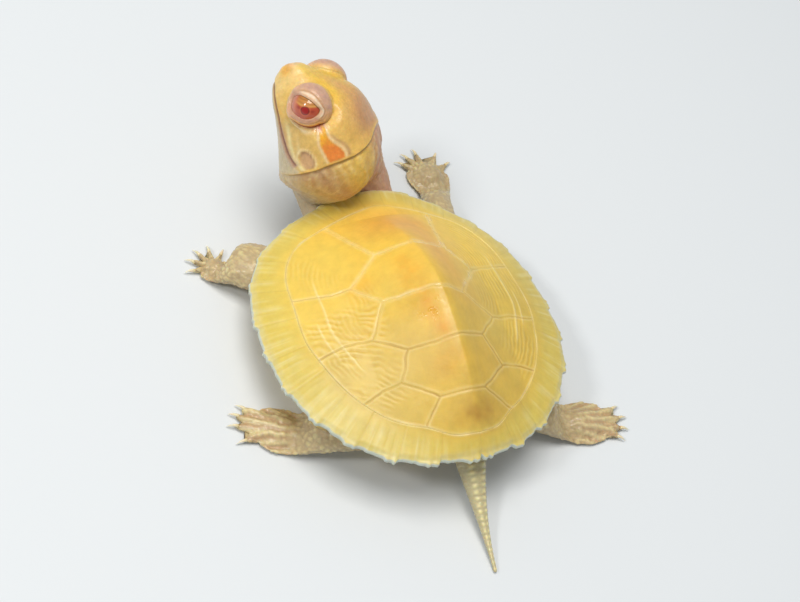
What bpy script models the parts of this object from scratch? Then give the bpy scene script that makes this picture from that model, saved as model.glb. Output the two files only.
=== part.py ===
"""Hatchling red-eared slider, life size, standing still with its head raised and turned to its left.

Frame: the turtle faces -Y, its left side is +X, +Z is up, and the floor is z = 0.
Sizes are in millimetres, and MM turns them into Blender's metres.
"""

import math

import bmesh
import bpy
from mathutils import Euler, Matrix, Vector

MM = 0.001

# Clear gap between neighbouring solids.
SEAM = 0.2
# The shell is modelled about its own middle, and this shift brings the whole animal over the origin.
SHELL_PLACE = (1.26, 1.6, 0.0)

# Carapace: a rounded plan, squarer in front than behind.
SHELL_HALF_WIDTH = 15.4
SHELL_HALF_LENGTH = 15.3
SHELL_MIDDLE_Y = -0.8
FRONT_SQUARENESS = 2.6
REAR_SQUARENESS = 2.05
SHELL_THICKNESS = 0.9
SHELL_STEPS = 74
SHELL_RINGS = 14
TRUNK_STEPS = 22
TRUNK_RINGS = 10

# The rim rises a little towards the tail, and arches over the neck.
RIM_HEIGHT = 6.05
RIM_SLOPE = 0.085
NUCHAL_ARCH = 3.6
NUCHAL_SPREAD = 9.0

# The vault, and the keel that stands on it.
VAULT_RISE = 5.2
VAULT_POWER = 1.65
KEEL_RISE = 3.2
KEEL_FOOT = 7.2
KEEL_POWER = 1.35
KEEL_PEAK_Y = 2.0
KEEL_REACH = 14.5

# Twelve marginal plates a side, three steps each, grow outwards to their rear corners.
STEPS_PER_MARGINAL = 3
MARGINAL_TEETH = (1.0, 0.1, 0.5)
TOOTH_FRONT = 0.1
TOOTH_REAR = 0.55

# Plastron: a flat plate on the floor, with a bridge up to the carapace on each side.
PLASTRON_FRONT = -13.6
PLASTRON_REAR = 10.5
PLASTRON_HALF_WIDTH = 8.8
PLASTRON_END_HALF_WIDTH = 2.6
PLASTRON_THICKNESS = 0.9
PLASTRON_COLUMNS = 6
PLASTRON_ROWS = 15
PLASTRON_CORNER = (3.0, 0.6)
ANAL_NOTCH = 1.3
NOTCH_SHARE = 0.15
BRIDGE_FRONT = -7.6
BRIDGE_REAR = 6.0
BRIDGE_RAMP = 3.4
BRIDGE_HALF_WIDTH = 13.4
BRIDGE_FOOT = 0.6

# Trunk: the flesh between the two shells, with a waist inside the bridges.
TRUNK_SHARE = 0.80
TRUNK_WAIST = 0.28
TRUNK_HEADROOM = 1.35
TRUNK_FLATNESS = 0.7

# Head: measured from the tip of the snout, along the head's own axes.
HEAD_PLACE = (8.4, -25.0, 18.2)
HEAD_YAW = 39.5
HEAD_PITCH = -32.4
HEAD_ROLL = -20.0
HEAD_LENGTH = 10.4
EYE_RADIUS = 1.95
EYE_PLACE = (2.62, 3.65, 1.15)
ORBIT_RADIUS = 2.35
ORBIT_INSET = 0.42
MOUTH_CORNER_Y = 7.3
MOUTH_CORNER_Z = -3.25
MOUTH_FRONT_Z = -2.2

# Snout to nape: distance back, half width, top, underside.
HEAD_SIDES = 12
HEAD_SQUARENESS = 0.8
HEAD_SECTIONS = (
    (-0.2, 0.7, 0.95, -0.75),
    (0.45, 1.3, 1.45, -1.6),
    (1.7, 2.35, 2.15, -2.55),
    (3.6, 3.4, 3.3, -3.45),
    (5.8, 4.65, 4.3, -4.85),
    (8.0, 5.35, 4.5, -6.4),
    (10.4, 5.35, 4.1, -7.1),
    (13.4, 4.9, 3.5, -7.1),
)

# Neck: two rings along the head's axes, the first of them inside it, then rings along the body's axes.
# It drops behind the head in front of the rim and turns back under the shell.
# Each ring has a middle, a half width and a half height.
NECK_SIDES = 10
NAPE = (
    ((0.0, 7.4, -1.25), 5.4, 5.7),
    ((0.0, 9.0, -1.25), 5.6, 5.9),
)
NECK_PATH = (
    ((2.8, -20.1, 9.6), 5.4, 4.75),
    ((1.5, -20.0, 7.0), 5.2, 4.3),
    ((0.6, -18.4, 5.0), 5.2, 3.75),
    ((0.4, -15.6, 4.0), 5.1, 3.2),
    ((0.5, -10.0, 4.1), 4.7, 2.8),
)

# Tail: from under the rear rim down to the floor.
TAIL_ROOT = (-1.4, 11.0, 4.7)
TAIL_TIP = (-0.75, 23.3, 0.33)
TAIL_ROOT_RADIUS = 2.1
TAIL_TIP_RADIUS = 0.25
TAIL_TAPER = 1.7
TAIL_SAG = 0.5
TAIL_RINGS = 6

LIMB_SIDES = 8

# Legs: a path from the trunk to the foot, each point with its half width and half height.
LEGS = {
    "foreleg_left": (
        ((6.8, -8.6, 3.1), 2.1, 1.7),
        ((9.4, -10.7, 3.1), 2.6, 1.75),
        ((11.8, -12.4, 2.8), 2.75, 1.75),
        ((13.7, -13.7, 2.1), 2.4, 1.6),
        ((15.1, -14.4, 1.3), 1.7, 1.1),
    ),
    "foreleg_right": (
        ((-6.8, -8.6, 3.1), 2.1, 1.7),
        ((-8.9, -11.6, 3.1), 2.15, 1.7),
        ((-9.8, -14.6, 2.9), 2.0, 1.6),
        ((-10.9, -17.6, 2.2), 1.6, 1.35),
        ((-11.9, -20.5, 1.25), 1.65, 0.95),
    ),
    "hindleg_left": (
        ((6.9, 7.2, 3.2), 2.3, 1.9),
        ((9.4, 6.8, 3.1), 2.3, 1.9),
        ((11.6, 6.2, 2.5), 2.4, 1.7),
        ((13.2, 5.4, 1.8), 2.4, 1.3),
        ((14.3, 4.8, 1.3), 2.2, 1.0),
    ),
    "hindleg_right": (
        ((-6.9, 8.6, 3.2), 2.4, 1.9),
        ((-9.4, 8.5, 3.1), 2.4, 1.9),
        ((-11.9, 9.3, 2.5), 2.4, 1.7),
        ((-14.2, 10.1, 1.8), 2.4, 1.3),
        ((-16.0, 10.6, 1.3), 2.2, 1.0),
    ),
}

# Feet: where each sole lies, which way it points (degrees towards the left from straight ahead),
# its half length, half width and thickness, and the directions of its claws.
FEET = {
    "forefoot_left": {
        "centre": (15.4, -14.5),
        "heading": 25.0,
        "half_length": 1.6,
        "half_width": 1.5,
        "thickness": 1.6,
        "toes": (-38.0, -4.0, 26.0, 55.0, 84.0),
    },
    "forefoot_right": {
        "centre": (-12.4, -22.2),
        "heading": 8.0,
        "half_length": 2.6,
        "half_width": 2.5,
        "thickness": 1.7,
        "toes": (-66.0, -37.0, 5.0, 29.0, 50.0),
    },
    "hindfoot_left": {
        "centre": (14.6, 4.6),
        "heading": 60.0,
        "half_length": 3.85,
        "half_width": 2.4,
        "thickness": 1.6,
        "toes": (43.0, 56.0, 70.0, 92.0),
    },
    "hindfoot_right": {
        "centre": (-16.9, 10.65),
        "heading": -98.0,
        "half_length": 3.7,
        "half_width": 2.45,
        "thickness": 1.6,
        "toes": (-126.0, -110.0, -94.0, -78.0),
    },
}
TOE_LOBE = 0.12
TOE_WIDTH = 10.0
SOLE_EDGE = 0.4
FOOT_STEPS = 28
FOOT_RINGS = 6
CLAW_LENGTH = 1.05
CLAW_RADIUS = 0.26
CLAW_POINT_SHARE = 0.2
CLAW_SIDES = 6
CLAW_HEIGHT = 0.42

COLOURS = {
    "carapace": (0.80, 0.62, 0.16),
    "plastron": (0.86, 0.74, 0.36),
    "skin": (0.72, 0.58, 0.38),
    "head_skin": (0.78, 0.60, 0.32),
    "eye": (0.62, 0.10, 0.08),
    "claw": (0.86, 0.80, 0.66),
}
ROUGHNESS = {"carapace": 0.35, "plastron": 0.4, "skin": 0.5, "head_skin": 0.45, "eye": 0.08, "claw": 0.3}


def clamp(value, low=0.0, high=1.0):
    return max(low, min(high, value))


def smooth_step(value):
    share = clamp(value)
    return share * share * (3 - 2 * share)


# Scene ---------------------------------------------------------------------------------------


def clear_scene():
    for obj in list(bpy.data.objects):
        bpy.data.objects.remove(obj, do_unlink=True)


def make_collection(name):
    collection = bpy.data.collections.new(name)
    bpy.context.scene.collection.children.link(collection)
    return collection


def make_material(name):
    material = bpy.data.materials.new(name)
    material.use_nodes = True
    shader = material.node_tree.nodes["Principled BSDF"]
    shader.inputs["Base Color"].default_value = (*COLOURS[name], 1.0)
    shader.inputs["Roughness"].default_value = ROUGHNESS[name]
    shader.inputs["Metallic"].default_value = 0.0
    return material


def make_empty(name, collection, parent=None):
    empty = bpy.data.objects.new(name, None)
    empty.parent = parent
    collection.objects.link(empty)
    return empty


def make_object(name, bm, collection, parent, material=None):
    """Turns a bmesh in millimetres into an object in metres under its parent.

    The faces of a closed form are turned outwards; a sheet keeps the side that it was made with.
    """
    if all(len(edge.link_faces) == 2 for edge in bm.edges):
        bmesh.ops.recalc_face_normals(bm, faces=bm.faces)
    bmesh.ops.scale(bm, vec=(MM, MM, MM), verts=bm.verts)
    mesh = bpy.data.meshes.new(name)
    bm.to_mesh(mesh)
    bm.free()
    obj = bpy.data.objects.new(name, mesh)
    obj.parent = parent
    collection.objects.link(obj)
    if material:
        mesh.materials.append(material)
        mesh.shade_smooth()
    return obj


def make_cutter(obj):
    obj.hide_render = True
    obj.display_type = "WIRE"
    return obj


def subdivide(obj, levels=1):
    modifier = obj.modifiers.new("smooth", "SUBSURF")
    modifier.levels = levels
    modifier.render_levels = levels


def combine(obj, other, operation):
    modifier = obj.modifiers.new(f"{operation.lower()} {other.name}", "BOOLEAN")
    modifier.operation = operation
    modifier.solver = "EXACT"
    modifier.object = other


def grown_copy(obj, collection, amount=SEAM):
    """A cutter that is the object's finished shape, pushed out by the seam."""
    graph = bpy.context.evaluated_depsgraph_get()
    mesh = bpy.data.meshes.new_from_object(obj.evaluated_get(graph))
    cutter = bpy.data.objects.new(f"{obj.name}_clearance", mesh)
    cutter.parent = obj.parent
    cutter.matrix_local = obj.matrix_local
    collection.objects.link(cutter)
    modifier = cutter.modifiers.new("grow", "DISPLACE")
    modifier.strength = amount * MM
    modifier.mid_level = 0.0
    return make_cutter(cutter)


# Shell ---------------------------------------------------------------------------------------


def rim_reach(angle):
    """Distance from the shell's middle to its rim; the angle is 0 in front and pi at the tail."""
    power = FRONT_SQUARENESS if math.cos(angle) > 0 else REAR_SQUARENESS
    across = abs(math.sin(angle)) / SHELL_HALF_WIDTH
    along = abs(math.cos(angle)) / SHELL_HALF_LENGTH
    return (across**power + along**power) ** (-1 / power)


def plan_angle(x, y):
    return math.atan2(x, -(y - SHELL_MIDDLE_Y))


def rim_tooth(angle):
    """How far a marginal plate's edge stands out at this step of the rim."""
    step = round(abs(angle) / (2 * math.pi / SHELL_STEPS))
    if step == 0:
        return 0.0
    size = TOOTH_FRONT + (TOOTH_REAR - TOOTH_FRONT) * abs(angle) / math.pi
    return size * MARGINAL_TEETH[(step - 1) % STEPS_PER_MARGINAL]


def rim_height(angle):
    x = rim_reach(angle) * math.sin(angle)
    y = -rim_reach(angle) * math.cos(angle)
    front = clamp(-y / SHELL_HALF_LENGTH)
    arch = NUCHAL_ARCH * front**4 * math.exp(-((x / NUCHAL_SPREAD) ** 2))
    return RIM_HEIGHT + RIM_SLOPE * y + arch


def vault_height(x, y):
    """Height of the carapace without its keel."""
    angle = plan_angle(x, y)
    share = math.hypot(x, y - SHELL_MIDDLE_Y) / rim_reach(angle)
    edge = RIM_HEIGHT + (rim_height(angle) - RIM_HEIGHT) * share**3
    return edge + VAULT_RISE * (1 - min(share, 1.0) ** VAULT_POWER)


def carapace_height(x, y):
    crest = KEEL_RISE * (1 - clamp(abs(y - KEEL_PEAK_Y) / KEEL_REACH) ** 3)
    return vault_height(x, y) + crest * clamp(1 - abs(x) / KEEL_FOOT) ** KEEL_POWER


def build_carapace(collection, parent, material):
    bm = bmesh.new()
    bmesh.ops.create_uvsphere(bm, u_segments=SHELL_STEPS, v_segments=SHELL_RINGS, radius=1.0)
    lower = [vert for vert in bm.verts if vert.co.z < -0.01]
    bmesh.ops.delete(bm, geom=lower, context="VERTS")
    for vert in bm.verts:
        angle = math.atan2(vert.co.x, -vert.co.y)
        share = math.hypot(vert.co.x, vert.co.y)
        reach = share * rim_reach(angle)
        x = reach * math.sin(angle)
        y = SHELL_MIDDLE_Y - reach * math.cos(angle)
        z = carapace_height(x, y)
        tooth = rim_tooth(angle) * share**6
        vert.co = (x + tooth * math.sin(angle), y - tooth * math.cos(angle), z)
    obj = make_object("carapace", bm, collection, parent, material)
    wall = obj.modifiers.new("wall", "SOLIDIFY")
    wall.thickness = SHELL_THICKNESS * MM
    wall.offset = -1.0
    return obj


def bridge_share(y):
    """1 along the bridge, falling to 0 in front of it and behind it."""
    rise = smooth_step((y - BRIDGE_FRONT) / BRIDGE_RAMP)
    fall = smooth_step((BRIDGE_REAR - y) / BRIDGE_RAMP)
    return rise * fall


def plastron_half_width(y):
    middle = (PLASTRON_FRONT + PLASTRON_REAR) / 2
    share = abs(y - middle) / ((PLASTRON_REAR - PLASTRON_FRONT) / 2)
    swell = PLASTRON_HALF_WIDTH - PLASTRON_END_HALF_WIDTH
    along_power, across_power = PLASTRON_CORNER
    lobe = PLASTRON_END_HALF_WIDTH + swell * (1 - clamp(share) ** along_power) ** across_power
    return lobe + (BRIDGE_HALF_WIDTH - lobe) * bridge_share(y)


def build_plastron(collection, parent, material):
    bm = bmesh.new()
    bmesh.ops.create_grid(bm, x_segments=PLASTRON_COLUMNS, y_segments=PLASTRON_ROWS, size=1.0)
    for vert in bm.verts:
        across, along = vert.co.x, (vert.co.y + 1) / 2
        y = PLASTRON_FRONT + (PLASTRON_REAR - PLASTRON_FRONT) * along
        x = across * plastron_half_width(y)
        climb = smooth_step((abs(across) - BRIDGE_FOOT) / (1 - BRIDGE_FOOT))
        top = vault_height(x, y) - TRUNK_HEADROOM - PLASTRON_THICKNESS
        z = climb * bridge_share(y) * top
        rear_share = (along - 1 + NOTCH_SHARE) / NOTCH_SHARE
        notch = ANAL_NOTCH * (1 - abs(across)) * smooth_step(rear_share)
        vert.co = (x, y - notch, z)
    obj = make_object("plastron", bm, collection, parent, material)
    subdivide(obj)
    wall = obj.modifiers.new("wall", "SOLIDIFY")
    wall.thickness = PLASTRON_THICKNESS * MM
    wall.offset = 1.0
    return obj


# Flesh ---------------------------------------------------------------------------------------


def build_trunk(collection, parent, material):
    """A cushion that fills the shell, held off both plates by the seam."""
    floor = PLASTRON_THICKNESS + SEAM
    bm = bmesh.new()
    bmesh.ops.create_uvsphere(bm, u_segments=TRUNK_STEPS, v_segments=TRUNK_RINGS, radius=1.0)
    for vert in bm.verts:
        angle = math.atan2(vert.co.x, -vert.co.y)
        share = math.hypot(vert.co.x, vert.co.y) ** TRUNK_FLATNESS
        reach = share * TRUNK_SHARE * rim_reach(angle)
        y = SHELL_MIDDLE_Y - reach * math.cos(angle)
        x = reach * math.sin(angle) * (1 - TRUNK_WAIST * bridge_share(y))
        level = 0.5 + 0.5 * vert.co.z
        ceiling = vault_height(x, y) - TRUNK_HEADROOM - SEAM
        vert.co = (x, y, floor + (ceiling - floor) * level)
    return make_object("trunk", bm, collection, parent, material)


def loft(stations, sides, lefts=None):
    """A closed tube of oval rings, each one square to the path through the stations' centres.

    A ring's width lies level, unless lefts gives its direction."""
    bm = bmesh.new()
    rings = []
    centres = [Vector(centre) for centre, _, _ in stations]
    for index, (_, half_width, half_height) in enumerate(stations):
        before = centres[max(index - 1, 0)]
        after = centres[min(index + 1, len(centres) - 1)]
        along = (after - before).normalized()
        side = along.cross(Vector((0, 0, 1)))
        if lefts:
            side = lefts[index] - along * along.dot(lefts[index])
        side.normalize()
        up = side.cross(along)
        ring = []
        for step in range(sides):
            turn = 2 * math.pi * (step + 0.5) / sides
            offset = side * (half_width * math.cos(turn)) + up * (half_height * math.sin(turn))
            ring.append(bm.verts.new(centres[index] + offset))
        rings.append(ring)
    for near, far in zip(rings, rings[1:]):
        for step in range(sides):
            following = (step + 1) % sides
            bm.faces.new((near[step], near[following], far[following], far[step]))
    bm.faces.new(rings[0])
    bm.faces.new(list(reversed(rings[-1])))
    return bm


def head_matrix():
    turn = Euler([math.radians(angle) for angle in (HEAD_PITCH, HEAD_ROLL, HEAD_YAW)], "YXZ")
    return Matrix.Translation(HEAD_PLACE) @ turn.to_matrix().to_4x4()


def build_neck(collection, cutters, parent, head_frame, material):
    """A tube whose width turns from the head's own side to the body's, cut square behind the head."""
    matrix = head_matrix()
    head_left = matrix.col[0].to_3d()
    body_left = Vector((1.0, 0.0, 0.0))
    stations = [(matrix @ Vector(centre), *half_sizes) for centre, *half_sizes in NAPE]
    stations.extend(NECK_PATH)
    lefts = [head_left, head_left, head_left.lerp(body_left, 0.5)]
    lefts.extend([body_left] * (len(NECK_PATH) - 1))
    neck = make_object("neck", loft(stations, NECK_SIDES, lefts), collection, parent, material)
    subdivide(neck)
    front = box((-12.0, -12.0, -12.0), (12.0, HEAD_LENGTH + SEAM, 12.0))
    combine(neck, make_cutter(make_object("head_space", front, cutters, head_frame)), "DIFFERENCE")
    return neck


def build_tail(collection, cutters, parent, material):
    """A long cone that comes down behind the shell and lies along the floor at its tip."""
    root, tip = Vector(TAIL_ROOT), Vector(TAIL_TIP)
    stations = []
    for index in range(TAIL_RINGS):
        share = index / (TAIL_RINGS - 1)
        centre = root.lerp(tip, share)
        centre.z -= TAIL_SAG * math.sin(math.pi * share)
        radius = TAIL_TIP_RADIUS + (TAIL_ROOT_RADIUS - TAIL_TIP_RADIUS) * (1 - share) ** TAIL_TAPER
        stations.append((centre, radius, radius))
    tail = make_object("tail", loft(stations, LIMB_SIDES), collection, parent, material)
    subdivide(tail)
    ground = box((-30.0, -30.0, -10.0), (30.0, 30.0, 0.0))
    combine(tail, make_cutter(make_object("ground", ground, cutters, parent)), "DIFFERENCE")
    return tail


# Head ----------------------------------------------------------------------------------------


def head_cage():
    """Rounded-square rings from the snout to the nape, in the head's own axes."""
    bm = bmesh.new()
    rings = []
    for back, half_width, top, bottom in HEAD_SECTIONS:
        middle, half_height = (top + bottom) / 2, (top - bottom) / 2
        ring = []
        for step in range(HEAD_SIDES):
            turn = 2 * math.pi * (step + 0.5) / HEAD_SIDES
            across = math.copysign(abs(math.cos(turn)) ** HEAD_SQUARENESS, math.cos(turn))
            upward = math.copysign(abs(math.sin(turn)) ** HEAD_SQUARENESS, math.sin(turn))
            ring.append(bm.verts.new((half_width * across, back, middle + half_height * upward)))
        rings.append(ring)
    for near, far in zip(rings, rings[1:]):
        for step in range(HEAD_SIDES):
            following = (step + 1) % HEAD_SIDES
            bm.faces.new((near[step], near[following], far[following], far[step]))
    bm.faces.new(list(reversed(rings[0])))
    bm.faces.new(rings[-1])
    return bm


def box(low, high):
    bm = bmesh.new()
    bmesh.ops.create_cube(bm, size=1.0)
    for vert in bm.verts:
        vert.co = [low[axis] if vert.co[axis] < 0 else high[axis] for axis in range(3)]
    return bm


def ball(centre, radius, segments=16, rings=10):
    bm = bmesh.new()
    bmesh.ops.create_uvsphere(bm, u_segments=segments, v_segments=rings, radius=radius)
    bmesh.ops.translate(bm, vec=centre, verts=bm.verts)
    return bm


def mouth_box(seam, reach=12.0):
    """The space under the mouth line and in front of the jaw's joint, less the seam."""
    bm = box((-reach, -reach, -reach), (reach, MOUTH_CORNER_Y - seam, 0.0))
    slope = (MOUTH_CORNER_Z - MOUTH_FRONT_Z) / MOUTH_CORNER_Y
    for vert in bm.verts:
        if vert.co.z > -0.01:
            vert.co.z = MOUTH_FRONT_Z + slope * vert.co.y - seam
    return bm


def build_head(collection, cutters, parent, skin, eye_skin):
    head = make_object("head", head_cage(), collection, parent, skin)
    subdivide(head)
    jaw = make_object("jaw", head_cage(), collection, parent, skin)
    subdivide(jaw)
    jaw_space = make_cutter(make_object("jaw_space", mouth_box(0.0), cutters, parent))
    jaw_limit = make_cutter(make_object("jaw_limit", mouth_box(SEAM), cutters, parent))
    nape = box((-12.0, HEAD_LENGTH, -12.0), (12.0, HEAD_LENGTH + 12.0, 12.0))
    nape_cut = make_cutter(make_object("nape_cut", nape, cutters, parent))
    combine(head, nape_cut, "DIFFERENCE")
    combine(head, jaw_space, "DIFFERENCE")
    combine(jaw, jaw_limit, "INTERSECT")
    for side, sign in (("left", 1), ("right", -1)):
        centre = (sign * EYE_PLACE[0], EYE_PLACE[1], EYE_PLACE[2])
        inner = (sign * (EYE_PLACE[0] - ORBIT_INSET), EYE_PLACE[1], EYE_PLACE[2])
        orbit = make_cutter(make_object(f"orbit_{side}", ball(inner, ORBIT_RADIUS), cutters, parent))
        socket_shape = ball(centre, EYE_RADIUS + SEAM)
        socket = make_cutter(make_object(f"socket_{side}", socket_shape, cutters, parent))
        combine(head, orbit, "UNION")
        combine(head, socket, "DIFFERENCE")
        make_object(f"eye_{side}", ball(centre, EYE_RADIUS), collection, parent, eye_skin)


# Feet ----------------------------------------------------------------------------------------


def toe_wave(angle, toes):
    """1 along a toe, 0 well away from every toe."""
    return max(math.exp(-(((angle - toe) / TOE_WIDTH) ** 2)) for toe in toes)


def foot_reach(foot, angle):
    """Distance from a foot's middle to its edge, in a direction in degrees from straight ahead."""
    turn = math.radians(angle - foot["heading"])
    across = math.sin(turn) / foot["half_width"]
    along = math.cos(turn) / foot["half_length"]
    return (1 + TOE_LOBE * toe_wave(angle, foot["toes"])) / math.hypot(across, along)


def build_foot(name, foot, collection, parent, material):
    """A flattened pad: domed on top, flat on the floor, and scalloped along its toes."""
    bm = bmesh.new()
    bmesh.ops.create_uvsphere(bm, u_segments=FOOT_STEPS, v_segments=FOOT_RINGS, radius=1.0)
    for vert in bm.verts:
        angle = math.degrees(math.atan2(vert.co.x, -vert.co.y))
        reach = foot_reach(foot, angle) * math.hypot(vert.co.x, vert.co.y)
        if vert.co.z < -0.01:
            z = 0.0
        else:
            z = SOLE_EDGE + (foot["thickness"] - SOLE_EDGE) * vert.co.z
        x = foot["centre"][0] + reach * math.sin(math.radians(angle))
        y = foot["centre"][1] - reach * math.cos(math.radians(angle))
        vert.co = (x, y, z)
    return make_object(name, bm, collection, parent, material)


def build_claws(foot_name, foot, collection, parent, material):
    for number, toe in enumerate(foot["toes"], start=1):
        outward = Vector((math.sin(math.radians(toe)), -math.cos(math.radians(toe)), 0.0))
        root = Vector((*foot["centre"], CLAW_HEIGHT)) + outward * (foot_reach(foot, toe) + SEAM)
        bm = bmesh.new()
        bmesh.ops.create_cone(
            bm,
            cap_ends=True,
            segments=CLAW_SIDES,
            radius1=CLAW_RADIUS,
            radius2=CLAW_RADIUS * CLAW_POINT_SHARE,
            depth=CLAW_LENGTH,
        )
        bmesh.ops.translate(bm, vec=(0, 0, CLAW_LENGTH / 2), verts=bm.verts)
        tilt = outward.to_track_quat("Z", "Y").to_matrix()
        bmesh.ops.rotate(bm, cent=(0, 0, 0), matrix=tilt, verts=bm.verts)
        bmesh.ops.translate(bm, vec=root, verts=bm.verts)
        make_object(f"claw_{foot_name}_{number}", bm, collection, parent, material)


def main():
    clear_scene()
    parts = make_collection("slider_hatchling")
    cutters = make_collection("cutters")
    materials = {name: make_material(name) for name in COLOURS}
    skin = materials["skin"]

    body = make_empty("body_frame", parts)
    body.location = Vector(SHELL_PLACE) * MM
    head_frame = make_empty("head_frame", parts, body)
    head_frame.rotation_mode = "YXZ"
    head_frame.rotation_euler = [math.radians(angle) for angle in (HEAD_PITCH, HEAD_ROLL, HEAD_YAW)]
    head_frame.location = Vector(HEAD_PLACE) * MM

    carapace = build_carapace(parts, body, materials["carapace"])
    plastron = build_plastron(parts, body, materials["plastron"])
    trunk = build_trunk(parts, body, skin)
    build_head(parts, cutters, head_frame, materials["head_skin"], materials["eye"])
    bpy.context.view_layer.update()
    shell = [grown_copy(obj, cutters) for obj in (carapace, plastron)]
    for clearance in shell:
        combine(trunk, clearance, "DIFFERENCE")
    bpy.context.view_layer.update()
    clearances = [*shell, grown_copy(trunk, cutters)]

    neck = build_neck(parts, cutters, body, head_frame, skin)
    tail = build_tail(parts, cutters, body, skin)
    for obj in (neck, tail):
        for clearance in clearances:
            combine(obj, clearance, "DIFFERENCE")

    for (leg_name, stations), (foot_name, foot) in zip(LEGS.items(), FEET.items()):
        leg = make_object(leg_name, loft(stations, LIMB_SIDES), parts, body, skin)
        subdivide(leg)
        built_foot = build_foot(foot_name, foot, parts, body, skin)
        build_claws(foot_name, foot, parts, body, materials["claw"])
        bpy.context.view_layer.update()
        for clearance in [grown_copy(built_foot, cutters), *clearances]:
            combine(leg, clearance, "DIFFERENCE")


main()
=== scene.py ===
import math

import bpy
import numpy as np
from mathutils import Matrix, Vector


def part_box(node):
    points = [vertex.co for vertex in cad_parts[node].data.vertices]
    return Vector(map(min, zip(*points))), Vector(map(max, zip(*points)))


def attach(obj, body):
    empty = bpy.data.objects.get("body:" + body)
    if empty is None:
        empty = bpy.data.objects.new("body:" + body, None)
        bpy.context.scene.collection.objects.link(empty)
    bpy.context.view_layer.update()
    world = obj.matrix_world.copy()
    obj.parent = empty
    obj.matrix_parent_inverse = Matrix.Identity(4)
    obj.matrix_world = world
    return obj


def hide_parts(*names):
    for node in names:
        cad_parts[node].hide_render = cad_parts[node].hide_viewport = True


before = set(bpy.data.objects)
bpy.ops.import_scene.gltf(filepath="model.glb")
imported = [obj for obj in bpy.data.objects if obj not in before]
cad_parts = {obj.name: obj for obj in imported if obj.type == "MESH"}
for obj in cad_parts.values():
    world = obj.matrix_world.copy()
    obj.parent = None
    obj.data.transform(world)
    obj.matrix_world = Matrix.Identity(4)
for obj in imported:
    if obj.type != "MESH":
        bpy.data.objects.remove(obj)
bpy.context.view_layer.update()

mm = 0.001

# The shell's own middle over the floor, taken from the carapace's box. All lengths below are in millimetres.
carapaceLow, carapaceHigh = [np.array(corner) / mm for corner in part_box("carapace")]
shellPlace = np.array([(carapaceLow[0] + carapaceHigh[0]) / 2, carapaceLow[1] + 16.2, 0.0])


def linearColour(hexText):
    # sRGB hex to the linear colour that the shaders work in
    parts = np.array([int(hexText[start:start + 2], 16) / 255 for start in (1, 3, 5)])
    low = parts / 12.92
    high = ((parts + 0.055) / 1.055) ** 2.4
    return np.where(parts <= 0.04045, low, high)


def smoothStep(value, start=0.0, end=1.0):
    # 0 up to start, 1 after end, and 3t^2 - 2t^3 between them
    share = np.clip((value - start) / (end - start), 0, 1)
    return share * share * (3 - 2 * share)


def bump(value, width):
    # a round hill of height 1 whose foot is about two widths away
    return np.exp(-((value / width) ** 2))


def mix(first, second, share):
    # share 0 gives first and share 1 gives second, for numbers or for colours
    share = np.clip(share, 0, 1)
    coloured = 3 in np.shape(first)[-1:] + np.shape(second)[-1:]
    if np.ndim(share) and coloured and np.shape(share)[-1:] != (3,):
        share = share[..., None]
    return first * (1 - share) + second * share


def paint(tint, hexText, share):
    # a share of another colour laid over the tint
    return mix(tint, linearColour(hexText), share)


def plainTint(hexText, points):
    # one colour for every point
    return np.tile(linearColour(hexText), (len(points), 1))


def ovalHill(x, y, middle, halfWidths):
    # a hill of height 1 on an oval foot that ends about two half widths away
    return np.exp(-(((x - middle[0]) / halfWidths[0]) ** 2) - ((y - middle[1]) / halfWidths[1]) ** 2)


def unit(vectors):
    # each vector made 1 long
    return vectors / np.linalg.norm(vectors, axis=-1, keepdims=True)


def pathSides(centres):
    # the level direction across a path at each of its points, and the direction above the path
    along = unit(np.gradient(centres, axis=0))
    side = unit(np.cross([0, 0, 1.0], along))
    return side, np.cross(along, side)


def spline(at, knots, values, firstSlope=None):
    # a cubic through every knot, with the slope between its neighbours there, unless the first slope is given
    knots = np.asarray(knots, float)
    values = np.asarray(values, float)
    flat = values.reshape(len(knots), -1)
    slopes = np.gradient(flat, knots, axis=0)
    if firstSlope is not None:
        slopes[0] = firstSlope
    at = np.clip(at, knots[0], knots[-1])
    index = np.clip(np.searchsorted(knots, at, side="right") - 1, 0, len(knots) - 2)
    span = (knots[index + 1] - knots[index])[..., None]
    t = (at - knots[index])[..., None] / span
    result = ((2 * t**3 - 3 * t**2 + 1) * flat[index] + (t**3 - 2 * t**2 + t) * span * slopes[index]
              + (-2 * t**3 + 3 * t**2) * flat[index + 1] + (t**3 - t**2) * span * slopes[index + 1])
    return result.reshape(np.shape(at) + values.shape[1:])


def pathDistance(points, path, loop=False):
    # distance from each point to a chain of straight pieces, and how far along the chain, from 0 to 1
    path = np.asarray(path, float)
    ends = np.concatenate([path[1:], path[:1]]) if loop else path[1:]
    starts = path if loop else path[:-1]
    lengths = np.linalg.norm(ends - starts, axis=1)
    before = np.concatenate([[0], np.cumsum(lengths)])
    best = np.full(len(points), 1e9)
    along = np.zeros(len(points))
    for start, end, length, done in zip(starts, ends, lengths, before):
        direction = (end - start) / length
        offset = points - start
        reach = np.clip(offset @ direction, 0, length)
        distance = np.linalg.norm(offset - reach[:, None] * direction, axis=1)
        closer = distance < best
        best = np.where(closer, distance, best)
        along = np.where(closer, (done + reach) / before[-1], along)
    return best, along


latticePrimes = np.array([374761393, 668265263, 2147483647])


def latticeHash(cell, seed):
    # a repeatable random number from 0 to 1 for each whole-numbered cell
    mixed = cell @ latticePrimes + seed * 974634777
    mixed = (mixed ^ (mixed >> 13)) * 1274126177
    mixed = mixed & 0x7FFFFFFF
    mixed = (mixed ^ (mixed >> 16)) & 0xFFFFFF
    return mixed / 0xFFFFFF


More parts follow.
